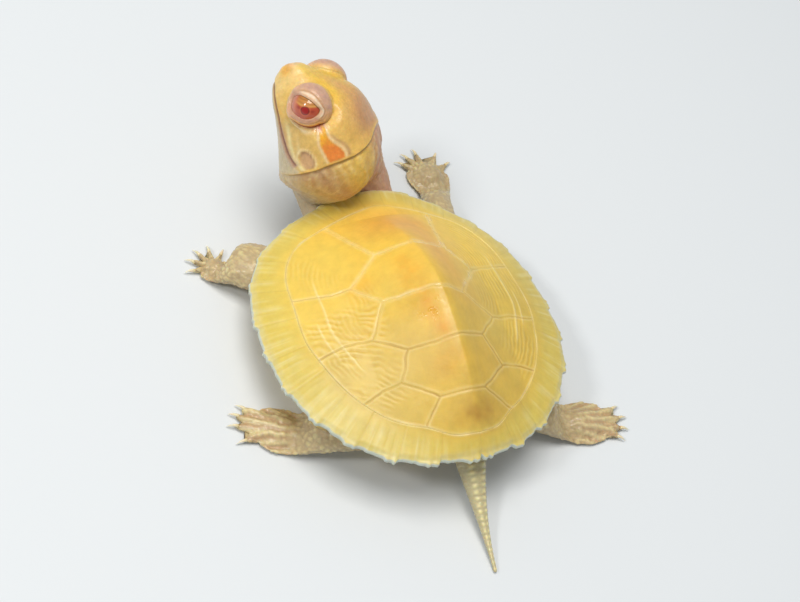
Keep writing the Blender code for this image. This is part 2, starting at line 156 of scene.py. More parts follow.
def cloudNoise(points, size, seed=1, layers=2):
    # soft noise from -1 to 1: random values at cell corners, smoothly blended, each layer half the size
    total = np.zeros(len(points))
    weight = 1.0
    weights = 0.0
    for layer in range(layers):
        scaled = points / (size / 2**layer)
        cell = np.floor(scaled).astype(np.int64)
        share = scaled - cell
        share = share * share * (3 - 2 * share)
        value = 0.0
        for dx in (0, 1):
            for dy in (0, 1):
                for dz in (0, 1):
                    part = (np.abs(1 - dx - share[:, 0]) * np.abs(1 - dy - share[:, 1])
                            * np.abs(1 - dz - share[:, 2]))
                    value = value + part * latticeHash(cell + np.array([dx, dy, dz]), seed + layer)
        total += weight * (2 * value - 1)
        weights += weight
        weight *= 0.5
    return total / weights


def pebbleNoise(points, size, seed=1):
    # distances to the nearest two of points scattered one to a cell: pebbles with seams between them
    scaled = points / size
    cell = np.floor(scaled).astype(np.int64)
    nearest = np.full(len(points), 9.0)
    second = np.full(len(points), 9.0)
    for dx in (-1, 0, 1):
        for dy in (-1, 0, 1):
            for dz in (-1, 0, 1):
                near = cell + np.array([dx, dy, dz])
                scatter = np.stack([latticeHash(near, seed + k) for k in range(3)], axis=-1)
                distance = np.linalg.norm(scaled - (near + (0.15 + 0.7 * scatter)), axis=1)
                second = np.minimum(second, np.maximum(nearest, distance))
                nearest = np.minimum(nearest, distance)
    return nearest, second


def gridFaces(rows, columns, wrap, flip=False, wrapRows=False):
    # four-sided faces between neighbouring rows and columns of a grid of points
    across = columns if wrap else columns - 1
    down = rows if wrapRows else rows - 1
    row, column = np.meshgrid(np.arange(down), np.arange(across), indexing="ij")
    followingRow = (row + 1) % rows
    following = (column + 1) % columns
    corners = [row * columns + column, row * columns + following,
               followingRow * columns + following, followingRow * columns + column]
    faces = np.stack(corners, axis=-1).reshape(-1, 4)
    return faces[:, ::-1] if flip else faces


def fanFaces(ring, tip, flip=False):
    # triangles from a closed ring of points to one tip
    ring = np.asarray(ring)
    faces = np.stack([ring, np.roll(ring, -1), np.full(len(ring), tip)], axis=-1)
    return faces[:, ::-1] if flip else faces


def tubeSurface(grid, flip=False):
    # a grid of rings, closed around, with a point at each end that closes the tube
    rows, columns = grid.shape[:2]
    points = np.concatenate([grid.reshape(-1, 3), [grid[0].mean(0)], [grid[-1].mean(0)]])
    first = rows * columns
    triangles = np.concatenate([fanFaces(np.arange(columns), first, not flip),
                                fanFaces(np.arange(columns) + (rows - 1) * columns, first + 1, flip)])
    return {"points": points, "quads": gridFaces(rows, columns, True, flip), "triangles": triangles}


def joinSurfaces(surfaces):
    # several surfaces as one, with their values side by side
    joined = {"points": [], "quads": [], "triangles": []}
    names = [name for name in surfaces[0] if name not in joined]
    joined.update({name: [] for name in names})
    offset = 0
    for surface in surfaces:
        joined["points"].append(surface["points"])
        joined["quads"].append(np.asarray(surface["quads"]).reshape(-1, 4) + offset)
        joined["triangles"].append(np.asarray(surface["triangles"]).reshape(-1, 3) + offset)
        for name in names:
            joined[name].append(surface[name])
        offset += len(surface["points"])
    return {name: np.concatenate(values) for name, values in joined.items()}


def makePiece(name, surface, material, attributes=()):
    # a mesh object at the origin, in metres, with smooth faces and the surface's named values on its points
    mesh = bpy.data.meshes.new(name)
    faces = surface["quads"].tolist() + surface["triangles"].tolist()
    mesh.from_pydata((surface["points"] * mm).tolist(), [], faces)
    mesh.materials.append(material)
    mesh.shade_smooth()
    for attribute in attributes:
        values = surface[attribute]
        if values.ndim == 2:
            layer = mesh.color_attributes.new(attribute, "FLOAT_COLOR", "POINT")
            packed = np.concatenate([np.clip(values, 0, 1), np.ones((len(values), 1))], axis=1)
            layer.data.foreach_set("color", packed.astype(np.float32).ravel())
        else:
            layer = mesh.attributes.new(attribute, "FLOAT", "POINT")
            layer.data.foreach_set("value", values.astype(np.float32))
    mesh.update()
    piece = bpy.data.objects.new(name, mesh)
    bpy.context.scene.collection.objects.link(piece)
    return piece


def vertexNormals(surface):
    # the mean of the face normals around each point, each weighted by its face's area
    points = surface["points"]
    total = np.zeros_like(points)
    for faces in (surface["quads"], surface["triangles"]):
        if len(faces) == 0:
            continue
        corners = points[faces]
        normal = np.cross(corners[:, 2] - corners[:, 0], corners[:, -1] - corners[:, 1])
        for corner in range(faces.shape[1]):
            for axis in range(3):
                total[:, axis] += np.bincount(faces[:, corner], normal[:, axis], len(points))
    return total / np.maximum(np.linalg.norm(total, axis=1, keepdims=True), 1e-12)


def addNode(tree, kind, settings=None, **links):
    # one node with its settings, whose sockets are linked from other nodes' or given plain values
    node = tree.nodes.new(kind)
    for name, value in (settings or {}).items():
        setattr(node, name, value)
    for name, value in links.items():
        socket = node.inputs[name.replace("_", " ")]
        if isinstance(value, bpy.types.NodeSocket):
            tree.links.new(value, socket)
        else:
            socket.default_value = value
    return node


def principledMaterial(name, settings):
    # a new material with those values on its shader; it comes with its node tree and the shader
    material = bpy.data.materials.new(name)
    material.use_nodes = True
    shader = material.node_tree.nodes["Principled BSDF"]
    for socket, value in settings.items():
        shader.inputs[socket].default_value = value
    return material, material.node_tree, shader


def attributeSocket(tree, name, output):
    return addNode(tree, "ShaderNodeAttribute", {"attribute_name": name}).outputs[output]


def mottledTint(tree, shader, place, spotsPerMm, roughness, darkest, lightest):
    # the piece's own tint, made darker and lighter in soft spots
    tint = attributeSocket(tree, "tint", "Color")
    mottle = addNode(tree, "ShaderNodeTexNoise", Vector=place, Scale=spotsPerMm / mm, Detail=4.0,
                     Roughness=roughness)
    shade = addNode(tree, "ShaderNodeMapRange", Value=mottle.outputs["Fac"], From_Min=0.3, From_Max=0.7,
                    To_Min=darkest, To_Max=lightest)
    colour = addNode(tree, "ShaderNodeVectorMath", {"operation": "SCALE"}, Vector=tint,
                     Scale=shade.outputs["Result"])
    tree.links.new(colour.outputs["Vector"], shader.inputs["Base Color"])


def hornMaterial(name, roughness, coat):
    # keratin plate: hard translucent horn over yellow bone, its soft sheen sharper where the gloss is high.
    # Its colour varies in spots about 1.1 mm apart, and its grain has 5.2 pits to the millimetre
    material, tree, shader = principledMaterial(name, {
        "Subsurface Weight": 0.25, "Subsurface Radius": (1.0, 0.62, 0.22), "Subsurface Scale": 0.3 * mm,
        "Coat Weight": coat, "Coat Roughness": 0.3, "IOR": 1.5})
    place = addNode(tree, "ShaderNodeTexCoord").outputs["Object"]
    mottledTint(tree, shader, place, 0.9, 0.6, 0.93, 1.05)
    gloss = attributeSocket(tree, "gloss", "Fac")
    rough = addNode(tree, "ShaderNodeMapRange", Value=gloss, To_Min=roughness, To_Max=0.1)
    tree.links.new(rough.outputs["Result"], shader.inputs["Roughness"])
    grain = addNode(tree, "ShaderNodeTexNoise", Vector=place, Scale=5.2 / mm, Detail=3.0)
    pitted = addNode(tree, "ShaderNodeMapRange", Value=gloss, To_Min=1.0, To_Max=4.0)
    height = addNode(tree, "ShaderNodeMapRange", Value=grain.outputs["Fac"], To_Max=pitted.outputs["Result"])
    relief = addNode(tree, "ShaderNodeBump", Height=height.outputs["Result"], Strength=0.4,
                     Distance=0.02 * mm)
    tree.links.new(relief.outputs["Normal"], shader.inputs["Normal"])
    return material


shell = {
    "halfWidth": 15.4, "halfLength": 15.3, "middleY": -0.8, "frontSquareness": 2.6, "rearSquareness": 2.05,
    "rimHeight": 6.05, "rimSlope": 0.085, "neckArch": 3.6, "neckArchWidth": 9.0,
    "vaultRise": 5.2, "vaultPower": 1.65,
    "keelRise": 3.2, "keelFoot": 7.2, "keelPower": 1.35, "keelPeakY": 2.0, "keelReach": 14.5,
    "keelRound": 0.6, "thickness": 0.9, "rimThickness": 0.62,
    "seamDepth": 0.06, "seamWidth": 0.065, "plateSwell": 0.05, "plateSwellReach": 0.9,
    "marginalAngle": 14.59, "nuchalAngle": 4.86, "marginals": 12, "toothFront": 0.12, "toothRear": 0.5,
    "gridSteps": 290, "rimSteps": 740,
}
# where the marginal plates meet the inner ones: degrees from the front, then the share of the way to the rim
marginalSeam = ((0, 0.869), (14, 0.834), (26, 0.83), (41, 0.85), (56, 0.829), (71, 0.793), (91, 0.793),
                (106, 0.777), (124, 0.784), (137, 0.796), (150, 0.812), (160, 0.829), (170, 0.881),
                (180, 0.9))
# seams between middle and side plates, front to rear, then across the middle, then out to the marginals
plateSeams = {
    "leftMiddle": ((5.7, -12.6), (4.6, -9.6), (3.65, -6.86), (6.82, -4.24), (4.94, -1.47), (6.76, 1.72),
                   (4.4, 3.87), (5.57, 6.56), (2.81, 8.97), (4.39, 10.8), (4.8, 11.5)),
    "rightMiddle": ((-5.7, -12.6), (-4.7, -9.6), (-3.98, -6.53), (-6.51, -4.06), (-2.71, -0.3), (-6.16, 1.82),
                    (-3.38, 4.11), (-5.05, 6.89), (-1.73, 9.23), (-4.56, 11.0), (-4.9, 11.6)),
    "firstCross": ((3.65, -6.86), (0, -6.75), (-3.98, -6.53)),
    "secondCross": ((4.94, -1.47), (2.4, -1.1), (0, -0.56), (-2.71, -0.3)),
    "thirdCross": ((4.4, 3.87), (2.2, 4.35), (0, 4.49), (-3.38, 4.11)),
    "fourthCross": ((2.81, 8.97), (0, 9.4), (-1.73, 9.23)),
    "leftFirst": ((6.82, -4.24), (8.6, -4.35), (12.4, -5.5)),
    "rightFirst": ((-6.51, -4.06), (-8.6, -4.6), (-12.4, -5.3)),
    "leftSecond": ((6.76, 1.72), (9.3, 1.3), (12.6, 1.8)),
    "rightSecond": ((-6.16, 1.82), (-8.5, 1.45), (-12.4, 1.6)),
    "leftThird": ((5.57, 6.56), (7.4, 6.6), (9.7, 7.4)),
    "rightThird": ((-5.05, 6.89), (-7.2, 6.7), (-9.7, 7.4)),
}
# orange spots beside the keel: middle, half widths and strength
orangeSpots = (((1.9, -3.4), (1.1, 2.0), 0.75), ((1.5, 0.9), (0.9, 1.6), 0.9),
               ((1.2, 3.2), (0.7, 1.2), 0.9), ((1.4, 6.5), (1.3, 1.2), 0.45),
               ((5.8, -4.0), (1.4, 1.2), 0.4), ((-3.0, -10.6), (1.6, 1.5), 0.4))


def rimReach(angle):
    # a rounded oval about the shell's middle, squarer in front; the angle is 0 in front and pi at the tail
    power = np.where(np.cos(angle) > 0, shell["frontSquareness"], shell["rearSquareness"])
    across = np.abs(np.sin(angle)) / shell["halfWidth"]
    along = np.abs(np.cos(angle)) / shell["halfLength"]
    return (across**power + along**power) ** (-1 / power)


def rimHeight(angle):
    # a straight slope from front to rear, with an arch over the neck
    x = rimReach(angle) * np.sin(angle)
    y = -rimReach(angle) * np.cos(angle)
    front = np.clip(-y / shell["halfLength"], 0, 1)
    return (shell["rimHeight"] + shell["rimSlope"] * y
            + shell["neckArch"] * front**4 * np.exp(-((x / shell["neckArchWidth"]) ** 2)))


def shellHeight(x, y):
    # a vault that falls as a power of the share of the way to the rim, with a tent-shaped keel on it
    angle = np.arctan2(x, -(y - shell["middleY"]))
    share = np.hypot(x, y - shell["middleY"]) / rimReach(angle)
    edge = shell["rimHeight"] + (rimHeight(angle) - shell["rimHeight"]) * share**3
    vault = edge + shell["vaultRise"] * (1 - np.minimum(share, 1) ** shell["vaultPower"])
    fromPeak = np.clip(np.abs(y - shell["keelPeakY"]) / shell["keelReach"], 0, 1)
    crest = shell["keelRise"] * (1 - fromPeak**3)
    fromKeel = np.sqrt(x * x + shell["keelRound"] ** 2) - 0.6 * shell["keelRound"]
    foot = np.clip(1 - fromKeel / shell["keelFoot"], 0, 1)
    return vault + crest * foot ** shell["keelPower"]


def marginalShare(angle):
    # the share of the way out to the rim at which the marginal plates begin
    return spline(np.degrees(np.abs(angle)), *zip(*marginalSeam))


def ringPoint(angle, share):
    # a point over the floor plan at that share of the way to the rim
    reach = rimReach(angle) * share
    return np.stack([reach * np.sin(angle), shell["middleY"] - reach * np.cos(angle)], axis=-1)


def shellTint(x, y, share):
    # lemon yellow plates, golden along the middle, with orange blotches by the keel and paler marginals, and
    # painted shade that darkens the rear and the right side
    place = np.stack([x, y, np.zeros_like(x)], axis=1)
    tint = plainTint("#ebca5a", x)
    golden = bump(x, 6.5) * 0.55 + 0.25 * cloudNoise(place, 3.2, 5)
    tint = paint(tint, "#f1c146", np.clip(golden, 0, 1))
    for middle, halfWidths, strength in orangeSpots:
        patchy = strength * (0.75 + 0.5 * cloudNoise(place, 0.9, 9))
        tint = paint(tint, "#f0a82c", ovalHill(x, y, middle, halfWidths) * patchy)
    blush = 0.7 * ovalHill(x, y, (0.2, -10.8), (3.4, 2.2)) + 0.6 * ovalHill(x, y, (-2.4, -6.0), (1.7, 4.6))
    tint = paint(tint, "#e3a54e", blush)
    tail = ovalHill(x, y, (-0.4, 11.4), (2.4, 1.5)) * (0.65 + 0.5 * cloudNoise(place, 0.8, 13))
    tint = paint(tint, "#b98432", tail * 0.75)
    # painted shade: the plates darken towards the rear and the right side, in soft patches
    paintedRearRightShade = smoothStep(y - 0.25 * x, -7.0, 3.0) * (0.85 + 0.3 * cloudNoise(place, 2.2, 15))
    tint = mix(tint, tint * np.array([0.8, 0.8, 0.86]), np.clip(paintedRearRightShade, 0, 1))
    return paint(tint, "#d6c462", smoothStep(share, 0.8, 0.93) * 0.6)


def palePlateRidge(tint, distance, place):
    # the raised pale line, stronger and weaker by turns, where the marginal plates meet the inner ones
    strength = np.clip(0.36 + 0.45 * cloudNoise(place, 1.4, 89), 0.1, 0.9)
    return paint(tint, "#f3e0ae", bump(distance, 0.13) * strength)


def seamFields(x, y):
    # distance to the nearest plate seam, with a slight natural wander, and how brown that seam is
    place = np.stack([x, y, np.zeros_like(x)], axis=1)
    wander = np.stack([cloudNoise(place, 0.9, 21), cloudNoise(place, 0.9, 31)], axis=1) * 0.1
    flat = np.stack([x, y], axis=1) + wander
    distances = {name: pathDistance(flat, path)[0] for name, path in plateSeams.items()}
    nearest = np.min(list(distances.values()), axis=0)
    brown = smoothStep(y, -3.0, 3.0)
    for name in ("leftFirst", "rightFirst"):
        brown = np.maximum(brown, bump(distances[name], 0.5) * 0.6)
    return nearest, brown


def growthLines(x, y, depthIn, seed=3):
    # fine wavy ridges that follow the plate's outer edge, in patches
    place = np.stack([x, y, np.zeros_like(x)], axis=1)
    wave = depthIn + 0.22 * cloudNoise(place, 1.3, seed) + 0.05 * cloudNoise(place, 0.5, seed + 2)
    patch = smoothStep(cloudNoise(place, 3.0, seed + 5), -0.25, 0.45)
    return np.sin(wave * 2 * math.pi / 0.46) * patch


def shieldUnderside(top, steps):
    # a wall down from the edge of the plates, then rings that follow the vault inwards to a closed middle
    edge = np.concatenate([np.arange(steps) * (steps + 1), (steps * (steps + 1)) + np.arange(steps),
                           np.arange(steps, 0, -1) * (steps + 1) + steps, np.arange(steps, 0, -1)])
    rings = [top[edge] - [0, 0, shell["thickness"]]]
    middle = np.array([[0.0, shell["middleY"]]])
    for inward in (0.9, 0.75, 0.55, 0.3):
        flat = middle + (top[edge][:, :2] - middle) * inward
        rings.append(np.column_stack([flat, shellHeight(*flat.T) - shell["thickness"]]))
    tip = np.column_stack([middle, shellHeight(*middle.T) - shell["thickness"]])
    around, count, first = np.arange(len(edge)), len(edge), len(top)
    wall = np.stack([edge, np.roll(edge, -1), first + (around + 1) % count, first + around], axis=1)
    below = gridFaces(len(rings), count, True) + first
    lastRing = first + (len(rings) - 1) * count + around
    closing = first + len(rings) * count
    return {"points": np.concatenate(rings + [tip]), "quads": np.concatenate([wall, below])[:, ::-1],
            "triangles": fanFaces(lastRing, closing, True)}


def shieldSurface():
    # a square grid bent onto a disc whose rim is the marginal seam:
    # u = a sqrt(1 - b^2/2), v = b sqrt(1 - a^2/2)
    steps = shell["gridSteps"]
    a, b = np.meshgrid(np.linspace(-1, 1, steps + 1), np.linspace(-1, 1, steps + 1), indexing="ij")
    u = (a * np.sqrt(1 - b * b / 2)).ravel()
    v = (b * np.sqrt(1 - a * a / 2)).ravel()
    angle = np.arctan2(u, -v)
    inner = np.hypot(u, v)
    share = inner * marginalShare(angle)
    x, y = ringPoint(angle, share).T
    base = shellHeight(x, y)
    place = np.stack([x, y, base], axis=1)

    toRim = (1 - inner) * marginalShare(angle) * rimReach(angle)
    seam, brown = seamFields(x, y)
    anySeam = np.minimum(seam, toRim)
    side = smoothStep(np.abs(x), 4.5, 6.5)
    lines = growthLines(x, y, toRim) * smoothStep(anySeam, 0.1, 0.5)
    longRidge = bump(toRim - 2.35 - 0.15 * cloudNoise(place, 2.0, 41), 0.12) * side
    longRidge = longRidge * smoothStep(np.abs(y + 1.2), 6.2, 4.0)
    secondRidge = bump(toRim - 1.45 - 0.1 * cloudNoise(place, 2.0, 43), 0.1) * side
    secondRidge = secondRidge * smoothStep(np.abs(y - 0.2), 2.4, 1.2)
    striae = cloudNoise(np.stack([x / 0.35, y / 3.2, 0 * x], axis=1), 1.0, 51) * (1 - side)
    relief = (shell["plateSwell"] * (1 - np.exp(-anySeam / shell["plateSwellReach"]))
              - shell["seamDepth"] * (0.4 + 0.6 * brown) * bump(seam, shell["seamWidth"])
              + 0.025 * bump(seam - 0.18, 0.13)
              + 0.05 * bump(toRim, 0.17)
              + 0.02 * lines * (0.08 + 0.92 * side) + 0.06 * longRidge + 0.05 * secondRidge + 0.012 * striae
              + 0.05 * cloudNoise(place, 2.6, 61) + 0.015 * cloudNoise(place, 0.6, 71))
    diagonal = 0.5 * x + 0.85 * y + 0.45 * cloudNoise(place, 1.4, 97)
    wrinkles = np.sin(diagonal * 2 * math.pi / 0.62) * smoothStep(x, 4.6, 6.2)
    wrinkles = wrinkles * smoothStep(np.abs(y - 2.4), 5.4, 3.6)
    wrinkles = wrinkles * smoothStep(anySeam, 0.1, 0.5) * smoothStep(cloudNoise(place, 2.1, 99), -0.35, 0.3)
    relief = relief + 0.028 * wrinkles
    keelLine = bump(x, 0.22) * smoothStep(np.abs(y + 0.5), 11.0, 8.0)
    relief = relief + 0.05 * keelLine * (0.6 + 0.4 * cloudNoise(place, 0.8, 81))
    relief = relief - 0.03 * smoothStep(inner, 0.994, 1.0)

    tint = shellTint(x, y, share)
    tint = mix(tint, tint * np.array([0.86, 0.76, 0.6]), np.clip(-lines, 0, 1) * (0.1 + 0.3 * side))
    tint = mix(tint, tint * np.array([0.84, 0.72, 0.55]),
               np.clip(-wrinkles, 0, 1) * 0.5 + np.clip(-striae, 0, 1) * 0.14)
    raised = 0.14 * side * np.clip(lines, 0, 1) + 0.5 * (longRidge + secondRidge)
    tint = paint(tint, "#f7e7a8", raised + 0.25 * np.clip(wrinkles, 0, 1))
    seamTint = paint(plainTint("#f4e2a4", x), "#a98038", brown)
    tint = paint(tint, "#f8e9b4", bump(seam - 0.17, 0.12) * 0.2)
    seamStrength = np.clip(0.42 + 0.5 * cloudNoise(place, 1.6, 87), 0.08, 0.75)
    tint = mix(tint, seamTint, bump(seam, 0.075) * seamStrength)
    tint = palePlateRidge(tint, toRim, place)
    wet = bump(seam, 0.35) * (1 - brown) * smoothStep(cloudNoise(place, 0.9, 91), -0.1, 0.3)
    byKeel = ovalHill(x, y, (1.6, 1.0), (1.3, 1.8))
    wet = np.maximum(wet, byKeel * smoothStep(cloudNoise(place, 0.7, 92), 0.0, 0.3))

    top = np.stack([x, y, base + relief], axis=1)
    above = gridFaces(steps + 1, steps + 1, False, flip=True)
    under = shieldUnderside(top, steps)
    return {"points": np.concatenate([top, under["points"]]) + shellPlace,
            "quads": np.concatenate([above, under["quads"]]), "triangles": under["triangles"],
            "tint": np.concatenate([tint, plainTint("#e0c270", under["points"])]),
            "gloss": np.concatenate([wet, np.zeros(len(under["points"]))])}


def marginalSurface():
    # rings round the shell: over the top from seam to rim, round the lip, and back under to the seam
    steps = shell["rimSteps"]
    angle = np.linspace(-math.pi, math.pi, steps, endpoint=False)
    inner = marginalShare(angle)
    plate = (np.degrees(np.abs(angle)) - shell["nuchalAngle"]) / shell["marginalAngle"]
    within = np.where(plate < 0, 0.5, plate - np.floor(plate))
    toSeam = np.minimum(within, 1 - within) * math.radians(shell["marginalAngle"]) * rimReach(angle)
    toSeam = np.where(plate < 0, -plate * math.radians(shell["marginalAngle"]) * rimReach(angle), toSeam)
    toothSize = shell["toothFront"] + (shell["toothRear"] - shell["toothFront"]) * np.abs(angle) / math.pi
    around = np.stack([np.cos(angle) * 15, np.sin(angle) * 15, 0 * angle], axis=1)
    tooth = toothSize * (np.clip(within, 0, 1) ** 2.2 * smoothStep(within, 1.0, 0.93)
                         + 0.45 * bump(within - 0.72, 0.05)
                         + 0.3 * cloudNoise(around, 0.5, 7))
    tooth = np.where(plate < 0, 0.05, tooth)

    across = np.linspace(0, 1, 30) ** 0.9
    share = inner + (1 - inner) * across[:, None]
    flat = ringPoint(angle + 0 * share, share)
    outward = np.stack([np.sin(angle), -np.cos(angle)], axis=-1)
    flat = flat + (tooth * across[:, None] ** 5)[..., None] * outward
    x, y = flat[..., 0].ravel(), flat[..., 1].ravel()
    fromSeam = ((share - inner) * rimReach(angle)).ravel()
    toRim = ((1 - share) * rimReach(angle)).ravel()
    toPlate = np.tile(toSeam, len(across))
    place = np.stack([x, y, 0 * x], axis=1)
    base = shellHeight(x, y)
    grain = np.stack([np.tile(angle * 55, len(across)), fromSeam * 0.22, 0 * x], axis=1)
    striae = cloudNoise(grain, 1.0, 17)
    relief = (shell["plateSwell"] * (1 - np.exp(-np.minimum(toPlate, fromSeam) / 0.5))
              + 0.05 * bump(fromSeam, 0.17) - 0.02 * bump(toPlate, 0.06) + 0.015 * bump(toPlate - 0.14, 0.1)
              + 0.03 * striae * smoothStep(fromSeam, 0.2, 1.2) + 0.03 * cloudNoise(place, 1.5, 27)
              - 0.16 * smoothStep(toRim, 0.5, 0.0) ** 2)
    top = np.column_stack([x, y, base + relief]).reshape(len(across), steps, 3)

    lip = []
    half = shell["rimThickness"] / 2
    for turn in np.linspace(0.25, 1.0, 7):
        bulge = 0.16 * math.sin(turn * math.pi)
        drop = half * (1 - math.cos(turn * math.pi))
        lip.append(top[-1] + np.column_stack([outward * bulge, np.full(steps, -drop)]))
    under = []
    for inward in np.linspace(0.06, 1.0, 9):
        shareIn = 1 - (1 - inner) * inward
        flatIn = ringPoint(angle, shareIn) + (tooth * (1 - inward) ** 5)[:, None] * outward
        depth = mix(np.full(steps, shell["rimThickness"] + 0.16), np.full(steps, shell["thickness"]), inward)
        under.append(np.column_stack([flatIn, shellHeight(flatIn[:, 0], flatIn[:, 1]) - depth]))
    under[-1][:, 2] = top[0][:, 2] - shell["thickness"]
    grid = np.concatenate([top, np.array(lip), np.array(under)])
    rows = len(grid)

    tint = shellTint(x, y, 1 - 0.17 * np.repeat(1 - across, steps))
    tint = mix(tint, tint * np.array([0.9, 0.84, 0.7]),
               np.clip(-striae, 0, 1) * 0.5 * smoothStep(fromSeam, 0.2, 1.4))
    tint = paint(tint, "#f2edc4", np.clip(striae, 0, 1) * 0.35 * smoothStep(fromSeam, 0.4, 1.8))
    tint = palePlateRidge(tint, fromSeam, place)
    tint = paint(tint, "#c0a150", bump(toPlate, 0.06) * 0.2)
    pale = smoothStep(toRim, 0.7, 0.0) * (0.6 + 0.5 * cloudNoise(place, 0.7, 37))
    tint = paint(tint, "#dcd9b0", pale * 0.5)
    lipTint = plainTint("#c9cfbf", np.concatenate(lip))
    underTint = plainTint("#dccb7c", np.concatenate(under))
    return {"points": grid.reshape(-1, 3) + shellPlace,
            "quads": gridFaces(rows, steps, True, flip=True, wrapRows=True),
            "triangles": np.zeros((0, 3), int),
            "tint": np.concatenate([tint, lipTint, underTint]),
            "gloss": np.full(rows * steps, 0.1)}


shellHorn = hornMaterial("keratinShellPlate", 0.45, 0.08)
shield = makePiece("carapaceShield", shieldSurface(), shellHorn, ("tint", "gloss"))
marginals = makePiece("carapaceMarginals", marginalSurface(), shellHorn, ("tint", "gloss"))
for piece in (shield, marginals):
    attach(piece, "root")
    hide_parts("carapace")
print("carapace made")


plastronPlan = {
    "front": -13.6, "rear": 10.5, "halfWidth": 8.8, "endHalfWidth": 2.6, "thickness": 0.9,
    "cornerPowers": (3.0, 0.6), "notch": 1.3, "notchShare": 0.15,
    "bridgeFront": -7.6, "bridgeRear": 6.0, "bridgeRamp": 3.4, "bridgeHalfWidth": 13.4, "bridgeFoot": 0.6,
    "headroom": 1.35,
    "seams": (-10.6, -7.4, -2.6, 3.2, 7.0), "columns": 150, "rows": 190,
}


def bridgeShare(y):
    # 1 along the bridges that join the shell's halves, falling to 0 before and behind them
    ramp = plastronPlan["bridgeRamp"]
    return (smoothStep(y, plastronPlan["bridgeFront"] - ramp, plastronPlan["bridgeFront"])
            * smoothStep(y, plastronPlan["bridgeRear"] + ramp, plastronPlan["bridgeRear"]))


def plastronSurface():
    # a flat oval sheet, half width = end + swell (1 - share^3)^0.6, whose sides climb along the bridges
    plan = plastronPlan
    rows, columns = plan["rows"], plan["columns"]
    across, along = np.meshgrid(np.linspace(-1, 1, columns), np.linspace(0, 1, rows))
    y = plan["front"] + (plan["rear"] - plan["front"]) * along
    middle = (plan["front"] + plan["rear"]) / 2
    share = np.abs(y - middle) / ((plan["rear"] - plan["front"]) / 2)
    alongPower, acrossPower = plan["cornerPowers"]
    swell = plan["halfWidth"] - plan["endHalfWidth"]
    halfWidth = plan["endHalfWidth"] + swell * (1 - np.clip(share, 0, 1) ** alongPower) ** acrossPower
    halfWidth = mix(halfWidth, plan["bridgeHalfWidth"], bridgeShare(y))
    x = across * halfWidth
    climb = smoothStep(np.abs(across), plan["bridgeFoot"], 1.0) * bridgeShare(y)
    top = shellHeight(x, y) - plan["headroom"] - plan["thickness"]
    height = climb * top
    y = y - plan["notch"] * (1 - np.abs(across)) * smoothStep(along, 1 - plan["notchShare"], 1.0)
    place = np.stack([x.ravel(), y.ravel(), height.ravel()], axis=1)
    seam = np.abs(x)
    for seamY in plan["seams"]:
        seam = np.minimum(seam, np.abs(y - seamY - 0.05 * np.abs(x)))
    groove = bump(seam, 0.16).ravel()
    edge = (halfWidth - np.abs(x)).ravel()
    roll = 0.3 * smoothStep(edge, 0.5, 0.0) ** 2 * (1 - climb.ravel())
    lower = place + np.stack([0 * edge, 0 * edge, 0.09 * groove + roll + 0.02], axis=1)
    upper = place + np.array([0, 0, plan["thickness"]])
    tint = plainTint("#e9d184", place)
    tint = paint(tint, "#e2b765", 0.35 + 0.5 * cloudNoise(place, 3.0, 4))
    tint = paint(tint, "#a98a4a", groove * 0.5)
    count = rows * columns
    rim = np.concatenate([np.arange(columns), np.arange(1, rows) * columns + columns - 1,
                          (rows - 1) * columns + np.arange(columns - 2, -1, -1),
                          np.arange(rows - 2, 0, -1) * columns])
    wall = np.stack([rim, np.roll(rim, -1), np.roll(rim, -1) + count, rim + count], axis=1)
    quads = np.concatenate([gridFaces(rows, columns, False, flip=True),
                            gridFaces(rows, columns, False) + count, wall])
    return {"points": np.concatenate([lower, upper]) + shellPlace, "quads": quads,
            "triangles": np.zeros((0, 3), int),
            "tint": np.concatenate([tint, tint]), "gloss": np.zeros(2 * count)}


plastron = makePiece("plastronPlates", plastronSurface(), shellHorn, ("tint", "gloss"))
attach(plastron, "root")
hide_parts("plastron")
print("plastron made")


head = {
    "place": (8.4, -25.0, 18.2), "yaw": 39.5, "pitch": -32.4, "roll": -20.0, "length": 8.8,
    "sections": ((-0.25, 0.8, 1.25, -0.8), (0.45, 1.3, 1.62, -1.6), (1.7, 2.3, 2.2, -2.65),
                 (3.6, 3.4, 3.4, -3.6), (5.8, 4.55, 4.4, -4.8), (8.0, 5.2, 4.45, -6.3),
                 (8.8, 5.3, 4.3, -6.8)),
    "neckStart": (0, 8.8, -1.25),
    "neckPath": ((2.8, -20.1, 9.6), (1.5, -20.0, 7.0), (0.6, -18.4, 5.0), (0.4, -15.6, 4.0),
                 (0.5, -10.0, 4.1)),
    "neckSizes": ((5.3, 5.6), (5.1, 4.5), (4.9, 4.1), (4.9, 3.6), (4.9, 3.1), (4.7, 2.8)),
    "neckPull": 0.3, "neckTurn": 7.0, "tuckShare": 0.7, "tuckFrom": 7.3, "tuckTo": 8.8, "tuckHeight": -0.8,
    "squareness": 0.84, "columns": 240, "headRows": 180, "neckRows": 240,
    "eyeCentre": (2.974, 3.743, 1.21), "eyeRadius": 1.75, "gaze": (0.970, -0.203, 0.133), "pupil": 0.36,
    "corneaRise": 0.07, "corneaWidth": 0.45, "eyeRows": 130, "eyeColumns": 96,
    "lidCentre": (2.7, 3.85, 1.15), "lidRadius": 2.4, "ballRadius": 2.26, "lidOut": (0.912, -0.358, 0.200),
    "lidUp": (-0.186, 0.073, 0.980), "lidBack": (0.365, 0.931, 0.0),
}
